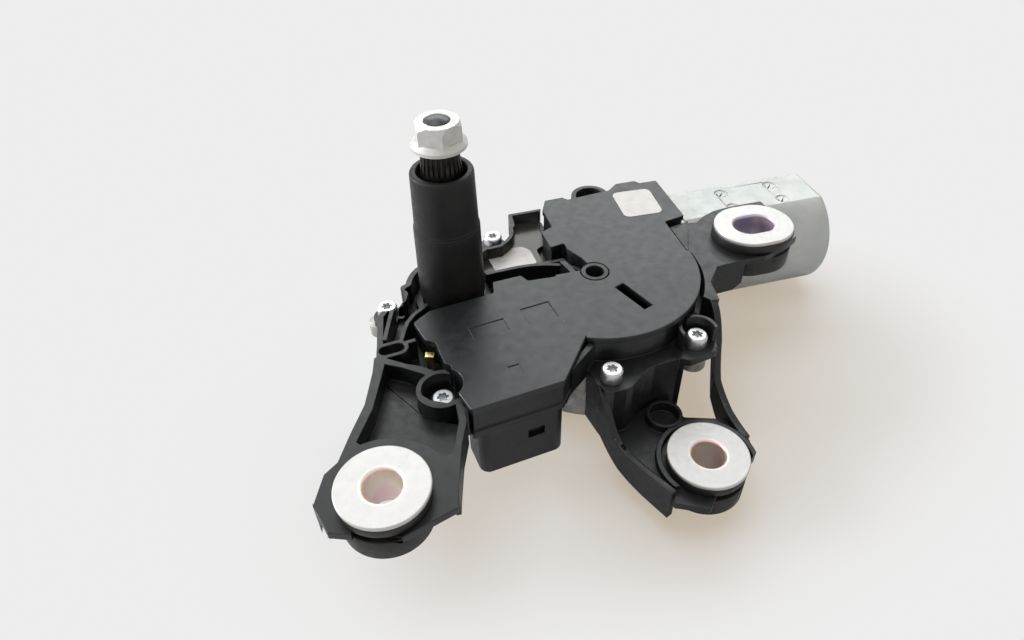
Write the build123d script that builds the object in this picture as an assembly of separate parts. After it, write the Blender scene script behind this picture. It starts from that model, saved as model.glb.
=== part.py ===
from build123d import *
from functools import cache
from math import acos, atan2, cos, degrees, hypot, pi, radians, sin, sqrt
import os

# Rear wiper motor: DC motor, worm drive and rocking hollow spindle on a rubber-mounted carrier.
# Origin on the spindle's axis at the level of the deck's rim, +Z up the spindle, +X along the
# motor towards its closed end, +Y towards the motor's side. Millimetres.

# ---- levels (z) -------------------------------------------------------------------
COVER_TOP = 3.5
COVER_THICK = 2.0
RIM_TOP = COVER_TOP - COVER_THICK      # top of the carrier's walls, where the cover lies
DECK_TOP = 0.0                         # top of the rim round the deck
DECK_DEPTH = 4.6
TRAY_FLOOR = -6.5
FLOOR_THICK = 2.8
SEAL_THICK = 1.0
SPLIT_Z = TRAY_FLOOR - FLOOR_THICK     # underside of the carrier's floor
HOUSING_TOP = SPLIT_Z - SEAL_THICK
WALL = 2.0

# ---- spindle ----------------------------------------------------------------------
SPINDLE_R = 5.0
SPINDLE_BORE_R = 2.2
CONE_BASE_R = 7.1
CONE_TOP_R = 5.7
CONE_Z = 39.0
THREAD_R = 3.95
NUT_Z = 53.5
NUT_HEIGHT = 7.8
CAP_EDGE = 0.6
CAP_RISE = 1.3
NUT_FLATS = 13.0
NUT_FLANGE_R = 8.5
NUT_FLANGE_THICK = 2.4
TUBE_R = 8.8
TUBE_TOP = 36.5
BUSH_WALL = 1.5
BUSH_LENGTH = 14.0
RUN_FIT = 0.05                         # radial clearance of a running or push fit
AIR = 0.3                              # gap between parts that pass each other

# ---- rubber sleeve on the spindle's tube --------------------------------------------
SLEEVE_BASE_R = 11.0
SLEEVE_STEP_R = 10.45
SLEEVE_TOP_R = 9.85
SLEEVE_BASE_Z = 7.0
SLEEVE_STEP_Z = 26.0
SLEEVE_TOP = 45.5
SLEEVE_MOUTH_R = 7.8
PANEL_AIR = 1.9                        # free ring round the sleeve above the deck's rim

# ---- worm drive and linkage ---------------------------------------------------------
WHEEL_X = 47.6
WHEEL_Y = -10.0
WHEEL_TEETH = 60
WHEEL_TIP_R = 30.6
WHEEL_ROOT_R = 28.6
WHEEL_WIDTH = 9.0
WHEEL_WEB = 2.6
WHEEL_HUB_R = 6.5
AXLE_R = 3.05
CRANK_R = 11.3
LEVER_R = 14.0
LINK_PIN_R = 2.5
LINK_EYE_R = 4.6
LINK_THICK = 3.0
WORM_R = 5.05
WORM_LENGTH = 24.0
MOTOR_Y = WHEEL_Y + WHEEL_TIP_R + WORM_R + AIR + RUN_FIT
MOTOR_Z = -22.2
CLIP_THICK = 0.9
HUB_SEAT = MOTOR_Z + WHEEL_WIDTH / 2 + 0.9     # underside of the boss that the wheel runs against
WHEEL_RIM = 3.0                        # solid rim inside the teeth
DISC_THICK = 0.6
DISC_AIR = 0.2
SPRING_STEP = 4.0                      # between the three tracks of the contact disc
SPRING_EDGE = 1.6
SPRING_ANGLE = 215.0
SPRING_THICK = 0.5
SPRING_WIDTH = 2.2
BAR_THICK = 0.8
BAR_WIDTH = 2.6
TAG_THICK = 0.8
ROD_TOP = MOTOR_Z - WHEEL_WIDTH / 2 - 1.9
LEVER_TOP = ROD_TOP - LINK_THICK - AIR
LEVER_BOTTOM = LEVER_TOP - LINK_THICK
SPINDLE_TOP = NUT_Z + NUT_HEIGHT - 0.6

# ---- cast gear housing --------------------------------------------------------------
CAST_WALL = 2.8
BOWL_R = WHEEL_TIP_R + 1.4
BOWL_FLOOR = -28.2
WELL_FLOOR = LEVER_BOTTOM - 1.1
BOSS_R = 4.3
BOSS_DEPTH = 5.2
MOUTH_X = 78.0
CAN_X = 92.5
WORM_BORE_R = WORM_R + 1.55
WORM_BACK = 14.0
NIPPLE_R = 3.0
LUG_WIDTH = 7.0
EAR_S5 = (-26.4, 1.6)                  # cast ear that shows beside screw S5

# ---- motor --------------------------------------------------------------------------
CAN_R = 21.7
CAN_FLAT = 19.8
CAN_WALL = 1.4
CAN_END = 154.3
CAN_FLANGE_THICK = 1.6
CAN_SCREW_HEAD_R = 2.6
CAN_SCREW_ANGLE = 41.4
CAN_SCREW_REACH = CAN_R + CAN_SCREW_HEAD_R + 0.2
FLANGE_MARGIN = 3.7
END_BOSS_R = 8.0
END_BOSS_LENGTH = 4.5
DIMPLE_R = 2.5
DIMPLES = [(116.5, -6.0), (116.5, 4.5), (138.0, -6.0), (138.0, 4.5)]
SHAFT_R = 2.5
CORE_R = 14.6
CORE_X = 99.0
CORE_LENGTH = 33.0
CORE_SLOTS = 10
MAGNET_THICK = 4.6
COMM_R = 8.0

# ---- rubber-mounted feet ------------------------------------------------------------
FOOT_A = (-33.7, -79.2)
FOOT_B = (62.1, -74.7)
FOOT_C = (110.7, -3.2)
FOOT_A_TOP = 6.0
FOOT_B_TOP = -21.2
FOOT_C_TOP = 6.0
FOOT_HEIGHT = 14.0
WASHER_R = 12.5
WASHER_THICK = 1.2
FOOT_BORE_R = 5.1
FOOT_MOUTH = 0.9                       # rounding where the bore meets the washer
FOOT_SLOT = 4.6                        # distance between the centres of foot C's slot ends
EYELET_WALL = 1.1
RUBBER_NECK_R = 9.2
RUBBER_FLANGE = 3.3
PLATE_THICK = 2.5
NECK_C = RUBBER_NECK_R - 0.6

# ---- screws -------------------------------------------------------------------------
SCREW_HEAD_R = 3.4
SCREW_HEAD_HEIGHT = 4.3
SCREW_R = 2.0
SCREW_S1 = (-12.7, -46.9)
SCREW_S2 = (39.2, -49.8)
SCREW_S3 = (70.6, -43.0)
SCREW_S4 = (21.0, 28.2)
SCREW_S5 = (-23.1, -1.2)
SCREWS = [SCREW_S1, SCREW_S2, SCREW_S3, SCREW_S4, SCREW_S5]

# ---- connector ----------------------------------------------------------------------
PLUG_CENTRE = (8.2, -57.2)             # middle of the carrier's front edge
PLUG_TURN = 7.2
PLUG_WIDTH = 27.6
PLUG_SHIFT = 1.1                       # towards the motor, from the middle of the front edge
PLUG_DEPTH = 14.0
PLUG_BOTTOM = -28.6
PLUG_CORNER = 3.2
PLUG_WALL = 1.7
GROOVE = 1.1
PLUG_FLOOR = 4.0
PIN_PITCH = 4.6
PIN_COUNT = 4
PIN_RECESS = 8.2
PIN_LINE = 7.6                         # contacts behind the front edge


# ---- carrier and cover ----------------------------------------------------------------
WHEEL = (WHEEL_X, WHEEL_Y)
RING_R = 4.65                          # ring boss over the wheel's axle
RING_GAP_R = RING_R + AIR
RING_FOOT_R = RING_R + 2.4
COVER_ROUND = (49.0, -9.5)
COVER_ROUND_R = 34.4
COVER_LIP = 1.4
LIP_DEPTH = 1.4
LIP_AIR = 0.15
COVER_EDGE = 0.5                       # cover's overhang past the chamber's wall
COVER_AIR = 1.5                        # gap between the cover and the walls beside it
S1_RING_R = 7.6
S1_RING_WALL = 1.6
S3_RING_R = 6.3
S3_RING_WALL = 1.3
NICHE_S4 = (17.8, 28.3)
NICHE_S4_R = 9.6
MOTOR_AIR = 0.5                        # carrier's clearance round the motor
HUMP_X = MOUTH_X - 1.5
REAR_RING = (63.3, 38.6)
REAR_RING_R = 7.4
REAR_RING_WALL = 1.9
RIB = 1.5
DECK_RIM = 1.5
ARM_B_FLOOR = FOOT_B_TOP - WASHER_THICK - RUBBER_FLANGE
ARM_B_WALL_TOP = ARM_B_FLOOR + 2.4
ARM_B_BOTTOM = -34.6
BOSS_B = (56.6, -55.0)
BOSS_B_R = 5.8
BOSS_B_WALL = 1.1
STRAP_WALL = 2.4
ARM_C_DEPTH = 13.0


# ---- small helpers ------------------------------------------------------------------
def disc(centre, radius):
    return Pos(*centre) * Circle(radius)


def plan(*points, corner=0.0):
    """Closed outline through the points, with every corner rounded."""
    if corner:
        return make_face(FilletPolyline(*points, radius=corner, close=True))
    return make_face(Polyline(*points, close=True))


def prism(sketch, bottom, top):
    return extrude(Pos(0, 0, bottom) * sketch, amount=top - bottom)


def column(centre, radius, bottom, top):
    return prism(disc(centre, radius), bottom, top)


def along_x(sketch, start, end):
    """Extrude a sketch drawn in (y, z) about the motor's axis."""
    plane = Plane(origin=(start, MOTOR_Y, MOTOR_Z), x_dir=(0, 1, 0), z_dir=(1, 0, 0))
    return extrude(plane * sketch, amount=end - start)


def strip(points, width):
    """Plan of a rib of constant width along a polyline."""
    return trace(Polyline(*points), width)


def stadium(length, radius):
    """Slot shape: length is the distance between the end arcs' centres."""
    if length <= 0:
        return Circle(radius)
    return Rectangle(length, 2 * radius) + Pos(-length / 2, 0) * Circle(radius) + \
        Pos(length / 2, 0) * Circle(radius)


def write(node, shape):
    export_step(shape, f"parts/{node}.step")
    print(node, round(shape.volume, 1))


# ---- plans of the carrier and its cover -----------------------------------------------
def grown(sketch, amount):
    return offset(sketch, amount) if amount else sketch


@cache
def cover_plan(grow=0.0):
    """Outline of the contact cover seen from above, grown or shrunk all round."""
    front = plan((-10.2, -14.3), (11.6, -11.4), (12.7, -5.8), (22.8, -5.0), (24.4, -8.4),
                 (36.6, -8.9), (42.2, -14.2), (50.0, -19.0), (46.0, -36.0), (34.9, -38.6), (22.0, -55.8),
                 (-6.6, -59.3), (-8.6, -52.0), (-8.6, -40.5), (-10.2, -39.0), (-11.2, -29.5),
                 (-14.0, -27.5), (-16.2, -18.6), (-13.6, -16.6), corner=0.8)
    band = disc(COVER_ROUND, COVER_ROUND_R) & (Pos(60.0, -27.0) * Rectangle(52.0, 38.0))
    rear = plan((47.6, -8.0), (45.8, -1.6), (42.6, 5.0), (42.6, 8.4), (37.2, 7.2), (36.8, 17.3),
                (41.5, 19.6), (41.4, 31.0), (44.2, 37.2), (51.3, 37.4), (53.0, 35.4),
                (70.3, 37.0), (74.7, 40.7),
                (82.6, 40.7), (84.0, 38.6), (91.0, 38.5), (91.0, 12.2), (82.6, 10.6),
                (82.6, -14.0), (60.0, -24.0), (46.0, -20.0), corner=0.8)
    shape = grown(front, grow) + grown(band, grow) + grown(rear, grow)
    shape -= disc(WHEEL, RING_GAP_R - grow) + disc(SCREW_S1, S1_RING_R - 1.3 - grow)
    return shape - disc((0.0, 0.0), SLEEVE_BASE_R + PANEL_AIR - grow)


@cache
def left_tray_plan():
    """Ribbed part of the carrier between the spindle and foot A."""
    edge = plan((-28.8, -24.0), (-26.8, -10.0), (-20.2, -1.4), (-17.0, 3.4), (0.0, 12.0),
                (40.0, 4.0), (44.0, -12.0), (40.0, -38.0), (34.0, -44.0), (21.4, -54.2),
                (-8.0, -57.6), (-18.0, -52.0), (-30.4, -36.0), (-29.8, -30.0), corner=0.6)
    return edge + disc((0.0, 0.0), 16.0)


@cache
def deck_plan():
    """Raised flat panel behind the spindle, with its curved front edge and screw niche."""
    edge = plan((10.0, 15.0), (16.0, 18.9), (21.5, 18.9), (28.6, 30.0), (29.4, 37.2),
                (43.0, 37.4), (43.0, 3.0), (8.0, 3.0), corner=0.6)
    return edge - disc(NICHE_S4, NICHE_S4_R)


@cache
def right_rim_plan():
    """Carrier outside the cover on the motor's side, out to foot C's arm."""
    return plan((80.0, -33.0), (82.6, -33.6), (84.2, -24.0), (89.5, -18.0), (91.5, -6.0),
                (92.0, 11.2), (80.0, 11.2), (70.0, -20.0), corner=0.6)


@cache
def shelf_plan():
    """Shelf with screws S2 and S3 in front of the round cover, ending in an S curve."""
    return plan((33.4, -43.0), (35.4, -55.6), (43.6, -55.4), (51.4, -49.0), (63.0, -47.8),
                (66.0, -49.6), (76.0, -48.0), (81.6, -33.6), (60.0, -20.0), (33.6, -34.0),
                corner=[0.6, 3.0, 4.4, 9.0, 0.4, 0.6, 2.0, 0.6, 0.6, 0.6])


@cache
def base_plan():
    """Everything that the carrier's floor covers, without the three arms."""
    return (left_tray_plan() + deck_plan() + cover_plan() + right_rim_plan() + shelf_plan()
            + disc(REAR_RING, REAR_RING_R) + strip([SCREW_S4, (25.0, 17.0)], 2 * SCREW_HEAD_R + 3.2)
            + strip([SCREW_S5, (-14.0, -8.0)], 2 * SCREW_HEAD_R))


# ---- carrier ----------------------------------------------------------------------------

def chamber_walls():
    """Closed wall under the cover's edge."""
    outer = cover_plan(-COVER_EDGE)
    return outer - cover_plan(-COVER_EDGE - WALL)


def carrier_base():
    shape = prism(base_plan(), SPLIT_Z, TRAY_FLOOR)
    shape += prism(chamber_walls(), TRAY_FLOOR, RIM_TOP)
    tray = left_tray_plan()
    tray_wall = (tray - offset(tray, -WALL)) - cover_plan()
    tray_wall -= plan((-8.0, 3.0), (45.0, 1.0), (45.0, 16.0), (-8.0, 16.0))
    shape += prism(tray_wall, TRAY_FLOOR, RIM_TOP)
    shape += deck()
    shape += right_rim()
    shape += prism(disc(REAR_RING, REAR_RING_R), TRAY_FLOOR, RIM_TOP)
    shape -= column(REAR_RING, REAR_RING_R - REAR_RING_WALL, SPLIT_Z - 1, COVER_TOP)
    return shape


def deck():
    """Shallow tray behind the spindle, with a thin rim and a curved rib along its front."""
    clear = cover_plan(COVER_AIR) + disc((0.0, 0.0), SLEEVE_BASE_R + PANEL_AIR)
    rib = strip([(10.0, 3.5), (18.6, 3.9), (24.1, 4.2), (29.4, 3.9), (34.5, 2.8), (39.4, 1.1),
                 (43.2, -1.4), (46.4, -6.0)], DECK_RIM)
    in_front = plan((-10.0, -10.0), (46.4, -10.0), (46.4, -6.0), (43.2, -1.4), (39.4, 1.1), (34.5, 2.8),
                    (29.4, 3.9), (24.1, 4.2), (18.6, 3.9), (-10.0, 3.5))
    body = deck_plan() - clear - in_front
    rim = (deck_plan() - offset(deck_plan(), -DECK_RIM)) - clear - in_front
    rib -= disc((0.0, 0.0), SLEEVE_BASE_R + PANEL_AIR) + disc(WHEEL, RING_R - 0.5)
    shape = prism(body, TRAY_FLOOR, DECK_TOP - DECK_DEPTH) + prism(rim, TRAY_FLOOR, DECK_TOP)
    return shape + prism(rib, TRAY_FLOOR, DECK_TOP)


def right_rim():
    rim = right_rim_plan() - cover_plan(COVER_AIR)
    return prism(rim, TRAY_FLOOR, RIM_TOP)


def tray_ribs():
    """Ribs and small moulded loops in the left tray."""
    lines = [[(-26.2, -22.0), (-23.6, -13.6), (-20.6, -4.4)],
             [(-21.1, -23.4), (-19.4, -18.9), (-17.8, -15.4), (-15.2, -12.3), (-12.4, -10.2),
              (-9.8, -8.0), (-8.0, -3.9)],
             [(-27.6, -30.2), (-23.4, -33.2), (-17.4, -37.8), (-15.0, -40.2)],
             [(-20.2, -24.8), (-16.6, -24.2)]]
    plans = [strip(line, RIB) for line in lines]
    eye = Pos(-24.5, -26.4) * Rot(0, 0, 6) * stadium(4.2, 3.3)
    eye_hole = Pos(-24.5, -26.4) * Rot(0, 0, 6) * stadium(4.2, 1.9)
    loop = Pos(-18.3, -2.2) * Rot(0, 0, 70) * stadium(2.6, 2.5)
    loop_hole = Pos(-18.3, -2.2) * Rot(0, 0, 70) * stadium(2.6, 1.3)
    ribs = eye + loop
    for piece in plans:
        ribs += piece
    inside = left_tray_plan() - cover_plan(0.2) - disc((0.0, 0.0), SLEEVE_BASE_R + PANEL_AIR)
    return prism(ribs & inside, TRAY_FLOOR, RIM_TOP), prism(eye_hole + loop_hole, SPLIT_Z - 1, COVER_TOP)


def screw_collars():
    """Bosses round the five screws; S1 and S3 sit inside tall rings."""
    ring_s1 = disc(SCREW_S1, S1_RING_R) - disc(SCREW_S1, S1_RING_R - S1_RING_WALL)
    ring_s1 -= cover_plan(0.6)
    ring_s1 -= Pos(SCREW_S1[0] + S1_RING_R, SCREW_S1[1]) * Rectangle(2 * S1_RING_R - 3, 8.0)
    ring_s3 = disc(SCREW_S3, S3_RING_R) - disc(SCREW_S3, S3_RING_R - S3_RING_WALL)
    ring_s3 -= cover_plan(0.6)
    opening = Pos(SCREW_S3[0] + 0.6, SCREW_S3[1] - S3_RING_R)
    ring_s3 -= opening * Rectangle(2 * S3_RING_R, 2 * S3_RING_R - 3.0)
    shape = prism(ring_s1, TRAY_FLOOR, RIM_TOP) + prism(ring_s3, TRAY_FLOOR, DECK_TOP + 0.6)
    for centre in SCREWS:
        shape += column(centre, SCREW_HEAD_R + 1.6, SPLIT_Z, TRAY_FLOOR)
    collar = disc(SCREW_S5, SCREW_HEAD_R + 1.9) - disc(SCREW_S5, SCREW_HEAD_R + 0.6)
    collar &= left_tray_plan()
    return shape + prism(collar, TRAY_FLOOR, DECK_TOP - 1.5)


def arm_a():
    """Open tray arm whose forked end clips round foot A's rubber neck."""
    outer = plan((-27.2, -29.4), (-30.2, -28.6), (-31.4, -34.6), (-35.2, -47.0), (-40.2, -56.6),
                 (-44.4, -65.4), (-48.2, -68.4), (-51.6, -77.4), (-48.6, -86.2), (-44.0, -88.0),
                 (-31.0, -92.4), (-16.4, -87.8), (-14.4, -79.6), (-11.4, -68.8), (-8.2, -60.6),
                 (-8.0, -57.0),
                 (-8.0, -49.0), (-13.6, -39.2), (-17.0, -36.2), (-22.2, -33.4), corner=0.6)
    pocket = plan((-27.4, -32.4), (-29.4, -38.6), (-33.2, -49.6), (-38.8, -60.0), (-34.0, -66.0),
                  (-18.6, -71.6), (-14.2, -70.4), (-10.4, -60.2), (-10.0, -52.0), (-14.6, -42.2),
                  (-17.0, -39.6), (-23.0, -35.0), corner=0.6)
    pocket -= disc(FOOT_A, WASHER_R + 6.1)
    pocket -= disc(SCREW_S1, S1_RING_R)
    trench = strip([(-28.6, -36.0), (-31.0, -42.0), (-35.4, -53.0), (-38.8, -60.0)], 3.4) & pocket
    plate_under = FOOT_A_TOP - WASHER_THICK - RUBBER_FLANGE - PLATE_THICK
    shape = prism(outer, SPLIT_Z, RIM_TOP)
    shape -= prism(pocket, TRAY_FLOOR + 1.6, RIM_TOP + 1)
    shape -= prism(trench, TRAY_FLOOR - 1.0, RIM_TOP + 1)
    shape -= column(SCREW_S1, S1_RING_R - S1_RING_WALL, TRAY_FLOOR, RIM_TOP + 1)
    shape -= column(FOOT_A, WASHER_R + 5.0, SPLIT_Z - 1, plate_under)
    front = plan((-60.0, -120.0), (0.0, -120.0), (0.0, -83.0), (-60.0, -83.0))
    shape -= prism(front, SPLIT_Z - 1, plate_under)
    return shape - neck_slot(FOOT_A, (-0.30, -0.95), 6.2, plate_under - 1, RIM_TOP + 1)


def neck_slot(centre, toward, half_mouth, bottom, top):
    """Round seat for a foot's rubber neck, open at a narrower mouth."""
    length = 24.0
    angle = degrees(atan2(toward[1], toward[0]))
    mouth = Pos(*centre) * Rot(0, 0, angle) * Pos(length / 2, 0) * Rectangle(length, 2 * half_mouth)
    return prism(disc(centre, RUBBER_NECK_R + RUN_FIT) + mouth, bottom, top)


def arm_b_side(top, bottom):
    """Side profile (y, z) common to the walls that drop from the shelf to foot B."""
    upper = Spline(*top)
    lower = Spline(*bottom)
    ends = Line(top[0], bottom[0]) + Line(top[-1], bottom[-1])
    face = make_face(upper + lower + ends)
    plane = Plane(origin=(20.0, 0, 0), x_dir=(0, 1, 0), z_dir=(1, 0, 0))
    return extrude(plane * face, amount=80.0)


def arm_b():
    """Deep arm that drops from the shelf to foot B, with a separate strap on its outer side."""
    floor_plan = plan((34.6, -49.0), (35.6, -55.0), (38.8, -65.0), (43.8, -78.0), (47.0, -85.6),
                      (56.0, -90.2), (60.0, -86.0), (78.0, -74.6), (79.2, -70.4), (75.0, -60.0),
                      (63.4, -56.0), (63.2, -49.0), (58.0, -47.0), corner=0.6)
    under = ARM_B_FLOOR - PLATE_THICK
    shape = prism(floor_plan, under, ARM_B_FLOOR)
    ring = disc(FOOT_B, WASHER_R + 3.0) - disc(FOOT_B, WASHER_R + 1.4)
    ring -= Pos(FOOT_B[0], FOOT_B[1] - 19.0) * Rectangle(60.0, 24.0)
    shape += prism(ring & offset(floor_plan, 1.5), under, ARM_B_WALL_TOP)
    shape += column(BOSS_B, BOSS_B_R, under, ARM_B_WALL_TOP + 0.6)
    shape -= column(BOSS_B, BOSS_B_R - BOSS_B_WALL, ARM_B_FLOOR - 1.0, ARM_B_WALL_TOP + 1)
    shape += left_wall_b() + strap() + step_wall()
    shape -= neck_slot(FOOT_B, (0.45, -0.89), 6.2, under - 0.5, ARM_B_WALL_TOP + 1)
    return shape - column(FOOT_B, WASHER_R + 0.8, ARM_B_BOTTOM - 2, under)


def left_wall_b():
    path = [(34.3, -43.8), (35.4, -53.4), (38.6, -64.0), (42.6, -74.4), (46.8, -84.0)]
    wall = prism(strip(path, 2.2), ARM_B_BOTTOM, TRAY_FLOOR)
    side = arm_b_side([(-40.0, TRAY_FLOOR), (-52.0, -7.2), (-56.5, -14.0), (-62.0, -22.0),
                       (-70.0, ARM_B_WALL_TOP), (-90.0, ARM_B_WALL_TOP - 0.4)],
                      [(-40.0, -14.0), (-52.0, -24.0), (-64.0, -33.0), (-76.0, ARM_B_BOTTOM),
                       (-90.0, ARM_B_BOTTOM)])
    return wall & side


def strap():
    path = [(80.8, -33.0), (79.6, -42.0), (77.0, -50.0), (76.8, -60.0), (77.6, -70.4)]
    wall = prism(strip(path, STRAP_WALL), ARM_B_BOTTOM, RIM_TOP)
    side = arm_b_side([(-32.0, RIM_TOP), (-38.0, -1.6), (-44.0, -11.0), (-51.0, -18.6),
                       (-60.0, -22.4), (-72.0, ARM_B_WALL_TOP)],
                      [(-32.0, SPLIT_Z), (-40.0, -15.0), (-48.0, -25.0), (-56.0, -31.0),
                       (-64.0, -33.6), (-72.0, -34.0)])
    return wall & side


def step_wall():
    """Curtain under the shelf's S-shaped edge, down to arm B's floor."""
    edge = shelf_plan()
    curtain = edge - offset(edge, -2.4)
    curtain &= plan((30.0, -44.0), (30.0, -62.0), (64.6, -62.0), (64.6, -44.0))
    return prism(curtain, ARM_B_FLOOR - PLATE_THICK, TRAY_FLOOR)


def arm_c():
    """Arm to the slotted foot C, forked towards the motor's end."""
    outer = plan((82.0, 11.4), (95.2, 9.6), (99.0, 12.4), (104.4, 14.6), (112.0, 15.6),
                 (125.0, 15.6), (125.2, -9.6), (117.6, -13.8), (109.0, -16.6), (102.6, -16.4),
                 (88.0, -17.4), (84.0, -22.0), (80.0, -24.0), corner=0.8)
    under = RIM_TOP - PLATE_THICK
    top = prism(outer - cover_plan(COVER_AIR), under, RIM_TOP)
    front = strip([(83.4, -22.0), (88.4, -16.3), (101.6, -15.4)], 2.2)
    shape = top + prism(front, RIM_TOP - ARM_C_DEPTH, RIM_TOP - 1)
    bevel = Pos(104.0, -16.0, RIM_TOP - ARM_C_DEPTH) * Rot(0, -38, 0) * Box(16.0, 12.0, 7.0)
    shape -= bevel & prism(Pos(100.0, -16.0) * Rectangle(24.0, 12.0), RIM_TOP - ARM_C_DEPTH - 1, under)
    rib = strip([(88.0, -15.4), (88.0, 1.0)], 2.0)
    shape += prism(rib, RIM_TOP - ARM_C_DEPTH + 3, RIM_TOP - 1)
    return shape - slot_c()


def slot_c():
    seat = Pos(*FOOT_C) * stadium(FOOT_SLOT, RUBBER_NECK_R - 0.6 + RUN_FIT)
    mouth = Pos(FOOT_C[0] + 14.0, FOOT_C[1]) * Rectangle(28.0, 12.4)
    return prism(seat + mouth, RIM_TOP - PLATE_THICK - 1, RIM_TOP + 1)


def spindle_tube():
    tube = column((0, 0), TUBE_R, SPLIT_Z, TUBE_TOP)
    tube += column((0, 0), SLEEVE_BASE_R + 2.0, SPLIT_Z, TRAY_FLOOR + 2.0)
    return tube


def hump_plan():
    """Solid patch under the cover where the motor's mouth rises into the carrier."""
    return plan((HUMP_X - 3.0, MOTOR_Y - 14.2), (90.4, MOTOR_Y - 13.2), (90.4, MOTOR_Y + 12.0),
                (HUMP_X - 3.0, MOTOR_Y + 12.0))


def motor_clearance():
    """Space that the housing's motor mouth takes out of the carrier."""
    mouth = along_x(can_section(MOTOR_AIR), HUMP_X, CAN_END)
    flange = along_x(offset(flange_section(), MOTOR_AIR), CAN_X - 4.5, CAN_X + CAN_FLANGE_THICK + 3.0)
    return mouth + flange


def can_section(grow=0.0):
    """Round section with flats above and below, drawn about the motor's axis."""
    side = 2 * (CAN_R + grow)
    return Circle(CAN_R + grow) & Rectangle(side, 2 * (CAN_FLAT + grow))


def carrier():
    ribs, rib_holes = tray_ribs()
    shape = carrier_base() + ribs + screw_collars()
    shape += arm_a() + arm_b() + arm_c()
    shape += ring_boss()
    shape += prism(hump_plan(), SPLIT_Z, RIM_TOP)
    shape -= motor_clearance()
    shape += spindle_tube()
    shape -= column((0, 0), SPINDLE_R + BUSH_WALL, SPLIT_Z - 1, TUBE_TOP + 1)
    shape -= column(WHEEL, AXLE_R + RUN_FIT, HUB_SEAT - 1, COVER_TOP + 1)
    shape -= rib_holes
    around = disc((0.0, 0.0), SLEEVE_BASE_R + PANEL_AIR) - disc((0.0, 0.0), TUBE_R)
    shape -= prism(around, DECK_TOP, RIM_TOP + 1)
    shape -= column(SCREW_S5, SCREW_HEAD_R + 3.4, TRAY_FLOOR + 1.6, RIM_TOP + 1)
    shape -= plug_frame() * Pos(PLUG_WIDTH / 2 + PLUG_SHIFT - 9.0, 0.0, SPLIT_Z) * Box(20.0, 3.0, 2 * GROOVE)
    for centre in SCREWS:
        shape -= column(centre, SCREW_R + 0.3, SPLIT_Z - 1, TRAY_FLOOR + 1)
        shape -= column(centre, SCREW_HEAD_R + 0.25, TRAY_FLOOR, COVER_TOP)
        shape -= column(centre, BOSS_R + AIR, HOUSING_TOP - BOSS_DEPTH - AIR, SPLIT_Z)
    shape -= contact_windows() + pin_holes()
    return shape


def ring_boss():
    tall = column(WHEEL, RING_R, SPLIT_Z, COVER_TOP)
    return tall + column(WHEEL, RING_FOOT_R, HUB_SEAT, TRAY_FLOOR)


# ---- connector ------------------------------------------------------------------------
def plug_frame():
    return Pos(PLUG_CENTRE[0], PLUG_CENTRE[1], 0) * Rot(0, 0, PLUG_TURN)


def pin_places():
    first = -PIN_PITCH * (PIN_COUNT - 1) / 2
    return [(first + PIN_PITCH * index, PIN_LINE) for index in range(PIN_COUNT)]


def pin_holes():
    holes = Part()
    for x, y in pin_places():
        holes += Pos(x, y, (SPLIT_Z + TRAY_FLOOR) / 2) * Box(3.2, 1.2, FLOOR_THICK + 2)
    return plug_frame() * holes


def spring_places():
    """Foot of each contact spring over its track on the wheel."""
    outer = WHEEL_ROOT_R - WHEEL_RIM - SPRING_EDGE
    angle = radians(SPRING_ANGLE)
    radii = [outer - SPRING_STEP * step for step in (2, 1, 0)]
    return [(WHEEL_X + radius * cos(angle), WHEEL_Y + radius * sin(angle)) for radius in radii]


def contact_windows():
    x, y = spring_places()[1]
    length = 2 * SPRING_STEP + SPRING_WIDTH + 2.8
    return Pos(x, y, SPLIT_Z) * Rot(0, 0, SPRING_ANGLE) * Box(length, 6.0, 4 * FLOOR_THICK)


# ---- cover --------------------------------------------------------------------------
def cover():
    shape = prism(cover_plan(), RIM_TOP, COVER_TOP)
    inner = -COVER_EDGE - WALL - LIP_AIR
    lip = cover_plan(inner) - cover_plan(inner - COVER_LIP)
    lip -= hump_plan() + disc(WHEEL, RING_FOOT_R + AIR) + disc(REAR_RING, REAR_RING_R + AIR)
    lip -= plan((30.0, 6.0), (40.0, 2.4), (48.6, -5.4), (43.0, -5.0), (30.0, 0.0))
    shape += prism(lip, RIM_TOP - LIP_DEPTH, RIM_TOP)
    recess = Pos(54.8, -21.6) * Rot(0, 0, -69) * Rectangle(13.4, 3.6)
    return shape - prism(recess, COVER_TOP - 1.4, COVER_TOP + 1)


# ---- cast gear housing ----------------------------------------------------------------
def lever_angle():
    """Direction of the output lever in the middle of its stroke, in degrees."""
    return degrees(atan2(WHEEL_Y, WHEEL_X)) - 90.0


def centre_distance():
    return hypot(WHEEL_X, WHEEL_Y)


def rod_length():
    """Rod length that gives equal swings either side of the middle."""
    return sqrt(centre_distance() ** 2 + LEVER_R ** 2 - CRANK_R ** 2)


def swing():
    """Half of the lever's stroke, in degrees."""
    return 90.0 - degrees(acos(rod_length() * CRANK_R / (centre_distance() * LEVER_R)))


def lever_pin_place():
    angle = radians(lever_angle())
    return (LEVER_R * cos(angle), LEVER_R * sin(angle))


def crank_pin_place():
    """Crank pin with the lever in the middle of its stroke and the rod in line."""
    x, y = lever_pin_place()
    reach = hypot(x - WHEEL_X, y - WHEEL_Y)
    toward = atan2(y - WHEEL_Y, x - WHEEL_X)
    opening = acos((reach ** 2 + CRANK_R ** 2 - rod_length() ** 2) / (2 * reach * CRANK_R))
    return (WHEEL_X + CRANK_R * cos(toward + opening), WHEEL_Y + CRANK_R * sin(toward + opening))


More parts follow.
